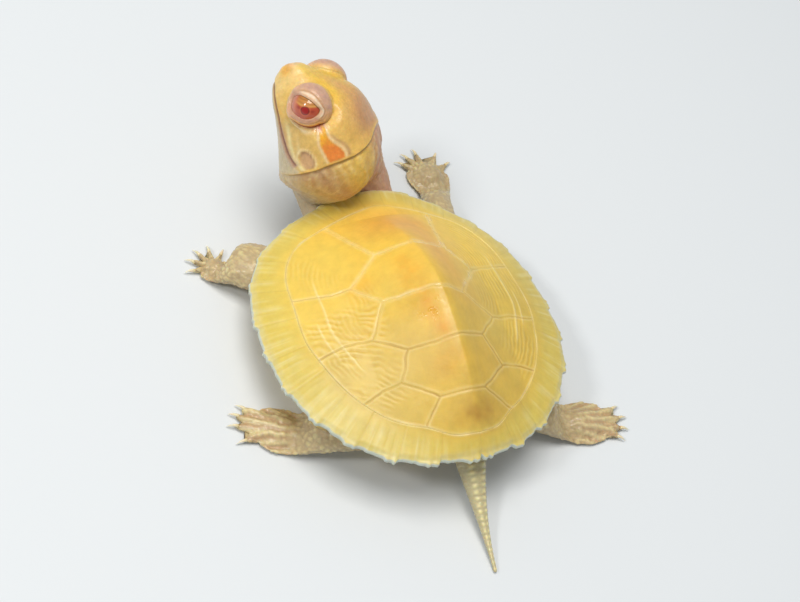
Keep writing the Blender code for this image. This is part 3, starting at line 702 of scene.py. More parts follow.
# the eye's opening and the ring where its lids meet the head: degrees round the eye from the back, then
# degrees from its axis
lidOpening = ((-180, 39), (-172, 45), (-162, 55), (-150, 65), (-140, 68), (-130, 67), (-119, 62), (-108, 54),
              (-96, 45), (-77, 38), (-52, 35), (-29, 35), (-11, 36), (7, 38), (28, 40), (43, 42), (55, 41),
              (65, 34), (84, 27), (114, 23), (145, 25), (166, 31), (180, 39))
lidRing = ((-180, 84), (-165, 80), (-151, 77), (-138, 75), (-124, 74), (-109, 72), (-94, 70), (-78, 68.5),
           (-60, 68), (-43, 68.5), (-28, 69.5), (-15, 72), (0, 76), (12, 82), (22, 87), (36, 89), (50, 88),
           (65, 86), (80, 84), (97, 86), (118, 91), (140, 91), (160, 88), (180, 84))

headTurn = np.array(Matrix.Rotation(math.radians(head["yaw"]), 3, "Z")
                    @ Matrix.Rotation(math.radians(head["pitch"]), 3, "X")
                    @ Matrix.Rotation(math.radians(head["roll"]), 3, "Y"))
headPlace = np.array(head["place"])


def headToBody(points):
    # head coordinates: x to the head's left, y back along it and z to its crown
    return headPlace + points @ headTurn.T


def bodyToHead(points):
    return (points - headPlace) @ headTurn


def ovalRing(centres, sides, ups, halfWidths, halfHeights):
    # oval rings about a path: side w sgn(sin)|sin|^q + up h sgn(cos)|cos|^q, q being the squareness
    turn = np.linspace(0, 2 * math.pi, head["columns"], endpoint=False)
    across = np.sign(np.sin(turn)) * np.abs(np.sin(turn)) ** head["squareness"]
    above = np.sign(np.cos(turn)) * np.abs(np.cos(turn)) ** head["squareness"]
    return (centres[:, None] + sides[:, None] * (halfWidths[:, None] * across)[..., None]
            + ups[:, None] * (halfHeights[:, None] * above)[..., None])


def foldPlace(points):
    # degrees round from the crown, and how far each point lies behind the fold at the back of the head
    around = np.degrees(np.arctan2(points[..., 0], points[..., 2] + 1.2))
    return around, points[..., 1] - spline(np.abs(around), *zip(*foldLine))


# rows ahead of the fold, about it and behind it, and the stretch of skin that the middle ones take
foldRows = {"ahead": 95, "about": 23, "behind": 58, "reach": 0.5, "front": -0.46, "back": 0.4}


def crowdedRows(rings):
    # the same surface with its rows moved along each column: one follows the fold and others crowd about it.
    # The second result is how far each point then lies behind the fold, along the skin
    steps = np.linalg.norm(np.diff(rings, axis=0), axis=2)
    lengths = np.concatenate([0 * steps[:1], np.cumsum(steps, axis=0)])
    past = foldPlace(rings)[1]
    after, column = np.argmax(past > 0, axis=0), np.arange(rings.shape[1])
    before = after - 1
    share = past[before, column] / (past[before, column] - past[after, column])
    atFold = mix(lengths[before, column], lengths[after, column], share)
    back = foldRows["back"]
    ahead = (atFold - foldRows["reach"]) * np.linspace(0, 1, foldRows["ahead"])[:, None] ** 1.2
    about = atFold + np.linspace(foldRows["front"], back, foldRows["about"])[:, None]
    rest = np.linspace(0, 1, foldRows["behind"])[1:, None] ** 1.35
    behind = atFold + back + (lengths[-1] - atFold - back) * rest
    rows = np.concatenate([ahead, about, behind])
    columns = [[np.interp(rows[:, j], lengths[:, j], rings[:, j, k]) for k in range(3)] for j in column]
    return np.array(columns).transpose(2, 0, 1), rows - atFold


def headGrid():
    # rings square to the head's axis, then rings along the neck, down in front of the shell and under it
    sections = np.array(head["sections"])
    front, snout = sections[0, 0], 1.1
    y = front + (head["length"] - front) * np.linspace(0.0005, 1, head["headRows"]) ** 1.25
    width, top, bottom = spline(y, sections[:, 0], sections[:, 1:]).T
    nose = np.sqrt(1 - np.clip((front + snout - y) / snout, 0, 1) ** 2) ** 0.85
    centre = np.stack([0 * y, y, (top + bottom) / 2], axis=1)
    side = np.tile([1.0, 0, 0], (len(y), 1))
    up = np.tile([0, 0, 1.0], (len(y), 1))
    headRings = ovalRing(centre, side, up, width * nose, (top - bottom) / 2 * nose)

    stations = np.concatenate([[head["neckStart"]], bodyToHead(np.array(head["neckPath"]))])
    knots = np.concatenate([[0], np.cumsum(np.linalg.norm(np.diff(stations, axis=0), axis=1))])
    at = knots[-1] * np.linspace(0, 1, head["neckRows"] + 1)[1:]
    path = spline(at, knots, stations, firstSlope=(0, head["neckPull"], 0))
    along = unit(np.gradient(np.concatenate([[head["neckStart"]], path]), axis=0)[1:])
    turned = mix(np.array([1.0, 0, 0]), headTurn[0], smoothStep(at, 0.0, head["neckTurn"]))
    turned = unit(turned - np.sum(turned * along, axis=1, keepdims=True) * along)
    upward = np.cross(turned, along)
    sizes = spline(at, knots, head["neckSizes"])
    neckRings = ovalRing(path, turned, upward, sizes[:, 0], sizes[:, 1])
    # where the neck passes forward beside the jaw it is drawn in, so that it stays inside the head
    tuck = mix(head["tuckShare"], 1.0, smoothStep(neckRings[..., 1:2], head["tuckFrom"], head["tuckTo"]))
    tuckMiddle = np.array([0, 0, head["tuckHeight"]])
    neckRings = (neckRings - tuckMiddle) * tuck ** np.array([1, 0, 1]) + tuckMiddle
    return crowdedRows(np.concatenate([headRings, neckRings]))


def lidAngles(points, side):
    # from the lids' centre to each point: distance, direction, degrees round from the back and off the axis
    offset = points * [side, 1, 1] - np.array(head["lidCentre"])
    reach = np.linalg.norm(offset, axis=1)
    direction = offset / np.maximum(reach, 1e-9)[:, None]
    bearing = np.degrees(np.arctan2(direction @ np.array(head["lidUp"]),
                                    direction @ np.array(head["lidBack"])))
    away = np.degrees(np.arccos(np.clip(direction @ np.array(head["lidOut"]), -1, 1)))
    return reach, direction, bearing, away


def grooveShare(bearing):
    # 1 where the fold under the eye is deep, below it and behind, and 0 over the eye
    return smoothStep(np.cos(np.radians(bearing + 32)), 0.5, 0.8)


def lidDirection(bearing, away):
    # the unit vector at those two angles
    turn, tilt = np.radians(bearing)[..., None], np.radians(away)[..., None]
    across = np.cos(turn) * np.array(head["lidBack"]) + np.sin(turn) * np.array(head["lidUp"])
    return np.cos(tilt) * np.array(head["lidOut"]) + np.sin(tilt) * across


faceLines = {
    "cheekStripe": ((3.1, 4.0, -1.5), (3.87, 4.87, -1.91), (4.26, 5.82, -2.32), (4.66, 6.71, -2.51),
                    (5.0, 7.6, -2.44), (5.3, 8.25, -2.2)),
    "upperStripe": ((3.9, 5.2, -0.9), (4.4, 6.1, -1.35), (4.75, 6.75, -1.75)),
    "browStripe": ((0.25, 0.78, 1.67), (0.56, 1.46, 1.98), (0.59, 2.12, 2.37), (0.94, 3.04, 2.91),
                   (1.16, 3.7, 3.25), (1.5, 4.6, 3.6)),
    "eyeRim": ((1.1, 2.6, 2.75), (1.51, 3.9, 3.3), (2.29, 4.85, 3.4), (2.85, 5.7, 2.9), (3.5, 6.3, 2.25),
               (3.85, 6.1, 1.4)),
    "crease": ((1.0, 9.9, 4.05), (1.89, 10.79, 3.59), (2.16, 11.5, 3.24), (2.13, 12.52, 2.43),
               (2.58, 13.04, 1.57), (2.76, 13.36, 0.7), (3.3, 13.29, 0.01)),
    "eardrum": (5.16, 7.72, -1.4), "nostril": (0.72, -0.05, 0.3),
}
headMarkings = ("mouth", "eardrum", "nostril", "ear", "cheekStripe", "upperStripe", "browStripe", "eyeRim")
# how far to the left the neck's crease lies, along the head
creaseEdge = ((9.9, 1.0), (10.8, 1.89), (11.5, 2.14), (12.5, 2.2), (13.0, 2.55), (13.4, 3.0))
# the mouth's height along the head, and the orange stripe behind the eye as an outline seen from the side
mouthLine = ((-0.3, -1.5), (0.5, -1.6), (1.0, -1.75), (1.9, -2.0), (3.0, -2.3), (4.2, -2.65), (5.4, -2.9),
             (6.6, -3.0), (7.4, -2.85), (8.1, -2.55))
earOutline = ((5.6, 1.4), (6.05, 1.2), (6.5, 0.95), (7.0, 0.74), (7.7, 0.66), (8.5, 0.64), (9.5, 0.5),
              (9.7, 1.9), (8.9, 2.2), (8.4, 2.17), (8.0, 2.05), (7.5, 1.86), (7.0, 1.72), (6.5, 1.72),
              (6.05, 1.78), (5.7, 1.72))
# where the head's skin overlaps the neck: degrees from the crown, then the distance back along the head
foldLine = ((0, 9.5), (11, 9.62), (22, 9.86), (33, 9.9), (45, 9.79), (58, 9.46), (71, 9.13), (87, 8.88),
            (103, 8.58), (115, 8.35), (135, 8.1), (180, 8.0))


def outlineDistance(places, outline):
    # how far each place lies outside a closed outline on a plane, and below nought inside it
    outline = np.array(outline)
    flat = np.concatenate([places, np.zeros((len(places), 1))], axis=1)
    closed = np.concatenate([outline, np.zeros((len(outline), 1))], axis=1)
    distance = pathDistance(flat, closed, loop=True)[0]
    starts, ends = outline, np.roll(outline, -1, axis=0)
    crossing = (starts[:, 1] > places[:, 1:]) != (ends[:, 1] > places[:, 1:])
    rise = np.where(ends[:, 1] == starts[:, 1], 1e-9, ends[:, 1] - starts[:, 1])
    crossingAt = starts[:, 0] + (places[:, 1:] - starts[:, 1]) / rise * (ends[:, 0] - starts[:, 0])
    inside = np.sum(crossing & (places[:, :1] < crossingAt), axis=1) % 2 == 1
    return np.where(inside, -distance, distance)


def headFields(points, pastFold=None):
    # distances to each marking and fold, both cheeks alike; behind the fold the head's markings are far away
    folded = np.abs(points) * [1, 0, 0] + points * [0, 1, 1]
    y, z = points[:, 1], points[:, 2]
    lines = {name: line for name, line in faceLines.items() if isinstance(line[0], tuple)}
    fields = {name: pathDistance(folded, line)[0] for name, line in lines.items()}
    fields["crease"] = pathDistance(points, faceLines["crease"])[0]
    fields["creaseSide"] = points[:, 0] - spline(y, *zip(*creaseEdge))
    fields["eardrum"] = np.linalg.norm((folded - faceLines["eardrum"]) * [1, 0.8, 1.05], axis=1)
    fields["nostril"] = np.linalg.norm(folded - faceLines["nostril"], axis=1)
    fields["belowMouth"] = spline(y, *zip(*mouthLine)) - z
    fields["mouth"] = np.abs(fields["belowMouth"]) + 2 * smoothStep(y, 7.6, 8.3)
    fields["ear"] = outlineDistance(folded[:, 1:], earOutline)
    fields["around"], fields["pastFold"] = foldPlace(points)
    if pastFold is not None:
        fields["pastFold"] = pastFold
        behind = 6 * smoothStep(pastFold, 0.2, 0.9)
        for name in headMarkings:
            fields[name] = fields[name] + behind
    return fields


def neckStreaks(points, around):
    # long streaks down the neck, one to 14 degrees, which wander
    return np.cos(np.radians(around * 360 / 14 + 260 * cloudNoise(points, 2.2, 31)))


def headRelief(points, fields):
    # height of the skin's folds and scales over the plain form
    y, around = points[:, 1], fields["around"]
    fold = fields["pastFold"]
    foldFade = smoothStep(np.abs(around), 150, 105) * (0.25 + 0.75 * smoothStep(around, 8, 40))
    height = 0.17 * foldFade * smoothStep(fold, -1.4, -0.08) * smoothStep(fold, 0.07, -0.05)
    height = height - 0.12 * foldFade * bump(fold - 0.25, 0.25) * smoothStep(fold, 0.0, 0.1)
    crease = fields["crease"] * np.sign(fields["creaseSide"])
    creaseFade = smoothStep(y, 10.0, 11.0)
    height = height + creaseFade * (0.1 * bump(crease, 0.14) - 0.12 * bump(crease + 0.3, 0.16))
    mouth = fields["mouth"]
    height = height - 0.13 * bump(mouth, 0.13) + 0.05 * bump(mouth - 0.32, 0.2)
    height = height - 0.16 * bump(fields["nostril"], 0.16) - 0.1 * bump(fields["nostril"] - 0.3, 0.45)
    height = height - 0.09 * bump(y - 0.75, 0.35) * smoothStep(np.abs(points[:, 0]), 0.7, 1.2)
    drum = fields["eardrum"]
    height = height - 0.06 * smoothStep(drum, 0.85, 0.6) + 0.05 * bump(drum - 0.95, 0.13)
    height = height + 0.04 * bump(fields["ear"] - 0.14, 0.13) * smoothStep(fold, 0.0, -0.15)
    nearest, second = pebbleNoise(points, 0.42, 3)
    scaly = smoothStep(fold, 0.0, 0.8)
    height = height + (0.05 * scaly + 0.012) * (smoothStep(second - nearest, 0.02, 0.35) - 0.5)
    streaks = neckStreaks(points, around)
    height = height + 0.022 * streaks * smoothStep(fold, 0.15, 0.8)
    wrinkles = cloudNoise(points * [1, 0.3, 1], 0.5, 12) * smoothStep(fold, 0.3, 1.5)
    wrinkles = wrinkles + 0.45 * cloudNoise(points * [1, 0.45, 1], 0.8, 14) * smoothStep(y, 4.5, 6.5)
    return height + 0.06 * wrinkles + 0.035 * cloudNoise(points, 1.6, 15)


def headTint(points, fields):
    # golden head with a pink crown and neck, pale cheek stripes and the orange stripe behind the eye, with
    # painted shade at the eardrum's upper edge and just behind the fold
    x, y, z = points.T
    fold, around = fields["pastFold"], fields["around"]
    cloud = cloudNoise(points, 1.3, 31)
    fine = cloudNoise(points, 0.35, 33)
    tint = plainTint("#e4b95e", points)
    tint = paint(tint, "#ecca7a", smoothStep(cloud, -0.2, 0.7) * 0.55)
    tint = paint(tint, "#efcf88", smoothStep(y, 2.4, 0.6) * 0.8)
    tint = paint(tint, "#e7c1a0", ovalHill(x, y, (0, -0.1), (0.9, 0.7)) * bump(z - 0.9, 0.7) * 0.7)
    tint = paint(tint, "#e2a32f", bump(fields["nostril"] - 0.25, 0.5) * 0.7)
    tint = paint(tint, "#ecc555", bump(fields["browStripe"], 0.55) * 0.7)
    crown = ovalHill(np.abs(x), y, (0.3, 7.6), (2.3, 2.3)) * smoothStep(z, 2.2, 3.4)
    tint = paint(tint, "#cc9668", np.clip(crown * 1.25 + 0.15 * cloud * crown, 0, 0.9))
    between = ovalHill(x, y, (0, 4.4), (0.7, 1.4)) * smoothStep(z, 2.4, 3.0)
    tint = paint(tint, "#d9a06e", between * 0.5)
    tint = paint(tint, "#ecbd42", bump(fields["eyeRim"], 0.5) * 0.7)
    cheek = smoothStep(np.abs(around), 62, 80) * smoothStep(y, 3.0, 4.5)
    tint = paint(tint, "#d3ae66", cheek * 0.55)
    for name, width, shade, share in (("cheekStripe", 0.28, "#f0e0a0", 0.85),
                                      ("upperStripe", 0.22, "#ecd89a", 0.6)):
        tint = paint(tint, shade, bump(fields[name], width) * share)
    drum = fields["eardrum"]
    tint = paint(tint, "#c99b7c", smoothStep(drum, 0.85, 0.55) * 0.65)
    # painted shade: a dark arc along the upper edge of the sunk eardrum, under its rim
    tint = paint(tint, "#8f5f4e", bump(drum - 0.74, 0.13) * smoothStep(z, -2.1, -1.3) * 0.6)
    tint = paint(tint, "#f0dcae", bump(drum - 0.98, 0.12) * 0.5)
    ear = fields["ear"]
    within = smoothStep(fold, 0.04, -0.04)
    tint = paint(tint, "#f0d3a6", bump(ear - 0.16, 0.13) * within * 0.75)
    tint = paint(tint, "#9a6a68", bump(ear - 0.42, 0.14) * within * smoothStep(z, 1.5, 1.8)
                 * smoothStep(y, 6.4, 7.2) * 0.45)
    earColour = mix(linearColour("#eeb024"), linearColour("#e58332"), smoothStep(y + 0.6 * fine, 6.2, 8.0))
    tint = mix(tint, earColour, smoothStep(ear, 0.04, -0.08) * within * 0.95)

    tint = paint(tint, "#e9bd62", bump(fold + 0.12, 0.16) * smoothStep(np.abs(around), 140, 100) * 0.9)
    neck = smoothStep(fold, 0.02, 0.2)
    neckTint = paint(plainTint("#cda265", points), "#f0c860", bump(around - 50, 26) * 0.95)
    neckTint = paint(neckTint, "#cf9a76", smoothStep(around, 30, 5))
    neckTint = paint(neckTint, "#c09678", bump(around - 88, 16) * 0.6)
    neckTint = paint(neckTint, "#cdb48a", smoothStep(np.abs(around), 100, 125))
    neckTint = paint(neckTint, "#f0d596", smoothStep(fine + 0.5 * cloud, 0.15, 0.7) * 0.55)
    streaks = neckStreaks(points, around)
    patchy = smoothStep(cloudNoise(points, 1.7, 35), -0.3, 0.5)
    neckTint = paint(neckTint, "#f6dfa4", np.clip(streaks, 0, 1) * patchy * 0.3)
    neckTint = paint(neckTint, "#b07a52", np.clip(-streaks, 0, 1) * patchy * 0.22)
    tint = mix(tint, neckTint, neck)
    tint = paint(tint, "#efd48c", bump(fields["crease"], 0.13) * smoothStep(y, 9.8, 10.6) * 0.8)
    # painted shade: a dark line in the dip just behind the fold, under the head's overlapping skin
    tint = paint(tint, "#8d5a3c", bump(fold - 0.14, 0.12) * smoothStep(np.abs(around), 135, 100) * 0.45)

    below = smoothStep(fields["belowMouth"], 0.0, 0.35) * smoothStep(fold, 0.3, -0.3)
    tint = paint(tint, "#cbbd9c", below * 0.8)
    tint = paint(tint, "#a8787a", bump(fields["mouth"] - 0.1, 0.42) * smoothStep(y, 2.5, 5.0) * 0.5)
    tint = paint(tint, "#83504a", bump(fields["mouth"], 0.14) * 0.8)
    return paint(tint, "#96502c", bump(fields["nostril"], 0.13) * 0.85)


def headSurface():
    # the plain rings, swollen over each eyeball, sunk inside each opening and raised along their normals
    grid, pastFold = headGrid()
    points = grid.reshape(-1, 3)
    pastFold = pastFold.ravel()
    ballRadius = head["ballRadius"]
    for side in (1, -1):
        reach, direction, bearing, away = lidAngles(points, side)
        ring = spline(bearing, *zip(*lidRing))
        groove = grooveShare(bearing)
        ball = mix(1.2, ballRadius, smoothStep(away, ring - mix(5.0, 3.0, groove), ring - 0.3))
        swollen = np.logaddexp(reach / 0.1, ball / 0.1) * 0.1
        inside = smoothStep(away, ring + 5, ring - 3) * smoothStep(reach, 3.3, 2.7)
        pushed = np.where((reach > 4.5) | (pastFold > 0), reach,
                          mix(swollen, np.minimum(swollen, ball + 0.04), inside))
        fromRing = np.radians(away - ring) * ballRadius
        rim = (0.09 * groove + 0.03) * bump(fromRing - 0.16, 0.13)
        rim = rim - 0.04 * (1 - groove) * bump(fromRing, 0.12)
        pushed = pushed + smoothStep(reach, 3.3, 2.7) * rim
        points = (np.array(head["lidCentre"]) + direction * pushed[:, None]) * [side, 1, 1]
    fields = headFields(points, pastFold)
    surface = tubeSurface(points.reshape(grid.shape))
    normals = vertexNormals(surface)[:len(points)]
    eyeFade = np.ones(len(points))
    for side in (1, -1):
        reach, direction, bearing, away = lidAngles(points, side)
        eyeFade = np.minimum(eyeFade, smoothStep(reach, 2.2, 2.8))
    raised = points + normals * (headRelief(points, fields) * eyeFade)[:, None]
    surface = tubeSurface(raised.reshape(grid.shape))
    # the two points that close the tube lie well before the fold and well behind it
    pastFold = np.append(pastFold, [-9.0, 9.0])
    tint = headTint(surface["points"], headFields(surface["points"], pastFold))
    for side in (1, -1):
        reach, direction, bearing, away = lidAngles(surface["points"], side)
        ring = spline(bearing, *zip(*lidRing))
        near = smoothStep(reach, 2.9, 2.5)
        rim = bump(np.radians(away - ring) * ballRadius - 0.14, 0.12) * near
        tint = paint(tint, "#f3dcab", rim * (0.2 + 0.7 * grooveShare(bearing)))
        # painted shade: dark red in the groove below and behind each eye, under the head's rim
        paintedGrooveShade = smoothStep(away, ring, ring - 2) * smoothStep(reach, 2.6, 2.35) * grooveShare(bearing)
        tint = paint(tint, "#b4421f", paintedGrooveShade * 0.9)
    return {**surface, "points": headToBody(surface["points"]), "tint": tint}


# the lids' rolled margin, and how far from the ball's middle they stand under the eye and at its widest
lids = {"rowsOut": 40, "rolledRows": 7, "columns": 150, "sunk": 0.06, "thickness": 0.14, "upperExtra": 0.08,
        "grooveFoot": 2.09, "grooveCrest": 2.17, "wideCrest": 2.24}


def lidSurface(side):
    # rows from the opening, round a rolled margin, over the dome and down into the groove about the eye
    rowsOut, rolledRows, columns = lids["rowsOut"], lids["rolledRows"], lids["columns"]
    turn = np.linspace(-180, 180, columns, endpoint=False)
    opening = spline(turn, *zip(*lidOpening))
    ring = spline(turn, *zip(*lidRing))
    groove = grooveShare(turn)
    upper = smoothStep(np.cos(np.radians(turn - 100)), 0.0, 0.5)
    eyeOffset = np.linalg.norm(np.array(head["eyeCentre"]) - np.array(head["lidCentre"]))
    tilt = np.radians(opening)
    eyeball = eyeOffset * np.cos(tilt) + np.sqrt(head["eyeRadius"] ** 2 - (eyeOffset * np.sin(tilt)) ** 2)
    rows = []
    thick = lids["thickness"] + lids["upperExtra"] * upper
    for roll in np.linspace(0, 1, rolledRows):
        away = opening + 3.0 * (1 - math.sin(roll * math.pi))
        rows.append((away, eyeball - lids["sunk"] + thick * (1 - math.cos(roll * math.pi)) / 2))
    rolled, height = rows[-1]
    top = mix(head["ballRadius"] - 0.02, lids["grooveFoot"], groove)
    crest = mix(mix(head["lidRadius"] - 0.02, lids["grooveCrest"], groove), lids["wideCrest"],
                smoothStep(opening, 48, 64))
    for out in np.linspace(0, 1, rowsOut)[1:]:
        away = mix(rolled, ring + 3.0, out)
        share = np.full(columns, out)
        rise = mix(height, crest, smoothStep(share, -0.1, 0.6) ** mix(0.9, 0.7, upper))
        fall = mix(smoothStep(share, 0.62, 1.0) ** 1.4, smoothStep(share, 0.5, 0.72), groove)
        rise = mix(rise, top, fall)
        rise = rise + 0.05 * upper * bump(share - 0.1, 0.07)
        rise = rise - 0.3 * smoothStep(share, 0.94, 1.0) * (1 - groove)
        line = np.sin(out * 40 + 1.2 * np.sin(np.radians(2 * turn)) + 0.02 * turn)
        lines = 0.022 * bump(share - 0.2, 0.16) * upper * line
        pouch = 0.07 * bump(share - 0.36, 0.07) * smoothStep(np.cos(np.radians(turn + 30)), 0.2, 0.7)
        rows.append((away, rise + lines - pouch))
    away = np.array([row[0] for row in rows])
    reach = np.array([row[1] for row in rows])
    directions = lidDirection(np.tile(turn, (len(rows), 1)), away)
    grid = (np.array(head["lidCentre"]) + directions * reach[..., None]) * [side, 1, 1]
    points = grid.reshape(-1, 3)
    share = np.repeat(np.concatenate([np.zeros(rolledRows), np.linspace(0, 1, rowsOut)[1:]]), columns)
    margin = np.repeat(np.concatenate([np.linspace(0, 1, rolledRows), np.ones(rowsOut - 1)]), columns)
    around = np.tile(turn, len(rows))
    upper, groove = np.tile(upper, len(rows)), np.tile(groove, len(rows))
    cloud = cloudNoise(points, 0.5, 41)
    tint = plainTint("#dfb48c", points)
    dusky = upper * bump(share - 0.5, 0.35) * (0.7 + 0.6 * cloud)
    tint = paint(tint, "#c69c88", dusky)
    corner = smoothStep(np.cos(np.radians(around - 20)), 0.75, 1.0) * smoothStep(share, 0.1, 0.4)
    tint = paint(tint, "#e0a860", corner * 0.7)
    tint = paint(tint, "#f2dcbc", bump(share - 0.1, 0.05) * (0.1 + 0.75 * upper))
    tint = paint(tint, "#b3824e", bump(share - 0.21, 0.05) * upper * 0.45)
    tint = paint(tint, "#7d5a2a", smoothStep(margin, 0.9, 0.5) * (0.25 + 0.65 * upper))
    tint = paint(tint, "#c98a76", (1 - upper) * smoothStep(share, 0.5, 0.1) * 0.5)
    tint = paint(tint, "#e2a040", groove * bump(share - 0.52, 0.12) * 0.9)
    # painted shade: the lid's outer face turns dark red where it runs into the groove under the head's rim
    tint = paint(tint, "#b03a18", groove * smoothStep(share, 0.58, 0.76) * 0.95)
    skinTint = headTint(points, headFields(points))
    tint = mix(tint, skinTint, (1 - groove) * smoothStep(share, 0.7, 0.95) * 0.8)
    quads = gridFaces(len(rows), columns, True, flip=side > 0)
    return {"points": headToBody(points), "quads": quads, "triangles": np.zeros((0, 3), int), "tint": tint}


# the lowest that skin comes over the floor
floorGap = 0.02

limbs = {
    "foreleg_left": ((6.8, -8.6, 3.1, 2.1, 1.7), (9.4, -10.7, 3.1, 2.55, 1.75), (11.8, -12.4, 2.8, 2.7, 1.75),
                     (13.7, -13.7, 2.1, 2.3, 1.6)),
    "foreleg_right": ((-6.8, -8.6, 3.1, 2.1, 1.7), (-8.9, -11.6, 3.1, 2.15, 1.7),
                      (-9.8, -14.6, 2.9, 2.0, 1.6), (-10.9, -17.6, 2.2, 1.6, 1.35)),
    "hindleg_left": ((6.9, 7.2, 3.2, 2.3, 1.9), (9.4, 6.8, 3.1, 2.3, 1.9), (11.6, 6.2, 2.5, 2.3, 1.7)),
    "hindleg_right": ((-6.9, 8.6, 3.2, 2.4, 1.9), (-9.4, 8.5, 3.1, 2.4, 1.9), (-11.9, 9.3, 2.5, 2.4, 1.7)),
}
# centre over the floor, heading in degrees from the front towards the left, half length and width, toes
feet = {
    "forefoot_left": {"leg": "foreleg_left", "centre": (15.4, -14.5), "heading": 25, "halfSizes": (1.75, 1.6),
                      "toes": (-38, -4, 26, 55, 84), "web": 0.45},
    "forefoot_right": {"leg": "foreleg_right", "centre": (-12.4, -22.2), "heading": 8,
                       "halfSizes": (2.6, 2.5), "toes": (-66, -37, 5, 29, 50), "web": 0.4},
    "hindfoot_left": {"leg": "hindleg_left", "centre": (14.6, 4.6), "heading": 60, "halfSizes": (3.85, 2.4),
                      "toes": (43, 56, 70, 92), "web": 0.2},
    "hindfoot_right": {"leg": "hindleg_right", "centre": (-16.9, 10.65), "heading": -98,
                       "halfSizes": (3.7, 2.45), "toes": (-126, -110, -94, -78), "web": 0.2},
}
footShape = {"thickness": 1.35, "soleLift": 0.12, "toeWidth": 7.5, "toeLength": 0.12, "toeReach": 0.42,
             "columns": 96, "legRows": 34, "footRows": 50,
             "rings": (-0.55, -0.25, 0.05, 0.3, 0.5, 0.65, 0.78, 0.88, 0.95, 1.0)}


def heading(degrees):
    # the level direction at that angle from the front towards the left
    turn = np.radians(degrees)
    return np.stack([np.sin(turn), -np.cos(turn), 0 * turn], axis=-1)


def toeLobes(angle, toes, width):
    # 1 along each toe's own direction, falling away on both sides of it
    return np.max([bump(angle - toe, width) for toe in toes], axis=0)


def footEdge(foot, angle):
    # from the foot's middle to its edge: an oval drawn out along the toes and cut in between them
    along, across = foot["halfSizes"]
    turn = np.radians(angle - foot["heading"])
    oval = 1 / np.sqrt((np.cos(turn) / along) ** 2 + (np.sin(turn) / across) ** 2)
    toes = foot["toes"]
    front = smoothStep(angle, toes[0] - 22, toes[0] - 8) * smoothStep(angle, toes[-1] + 22, toes[-1] + 8)
    lobes = toeLobes(angle, toes, footShape["toeWidth"])
    notches = foot["web"] * 0.5 * front * (1 - lobes)
    return oval * (1 + footShape["toeLength"] * lobes - notches) + footShape["toeReach"] * lobes


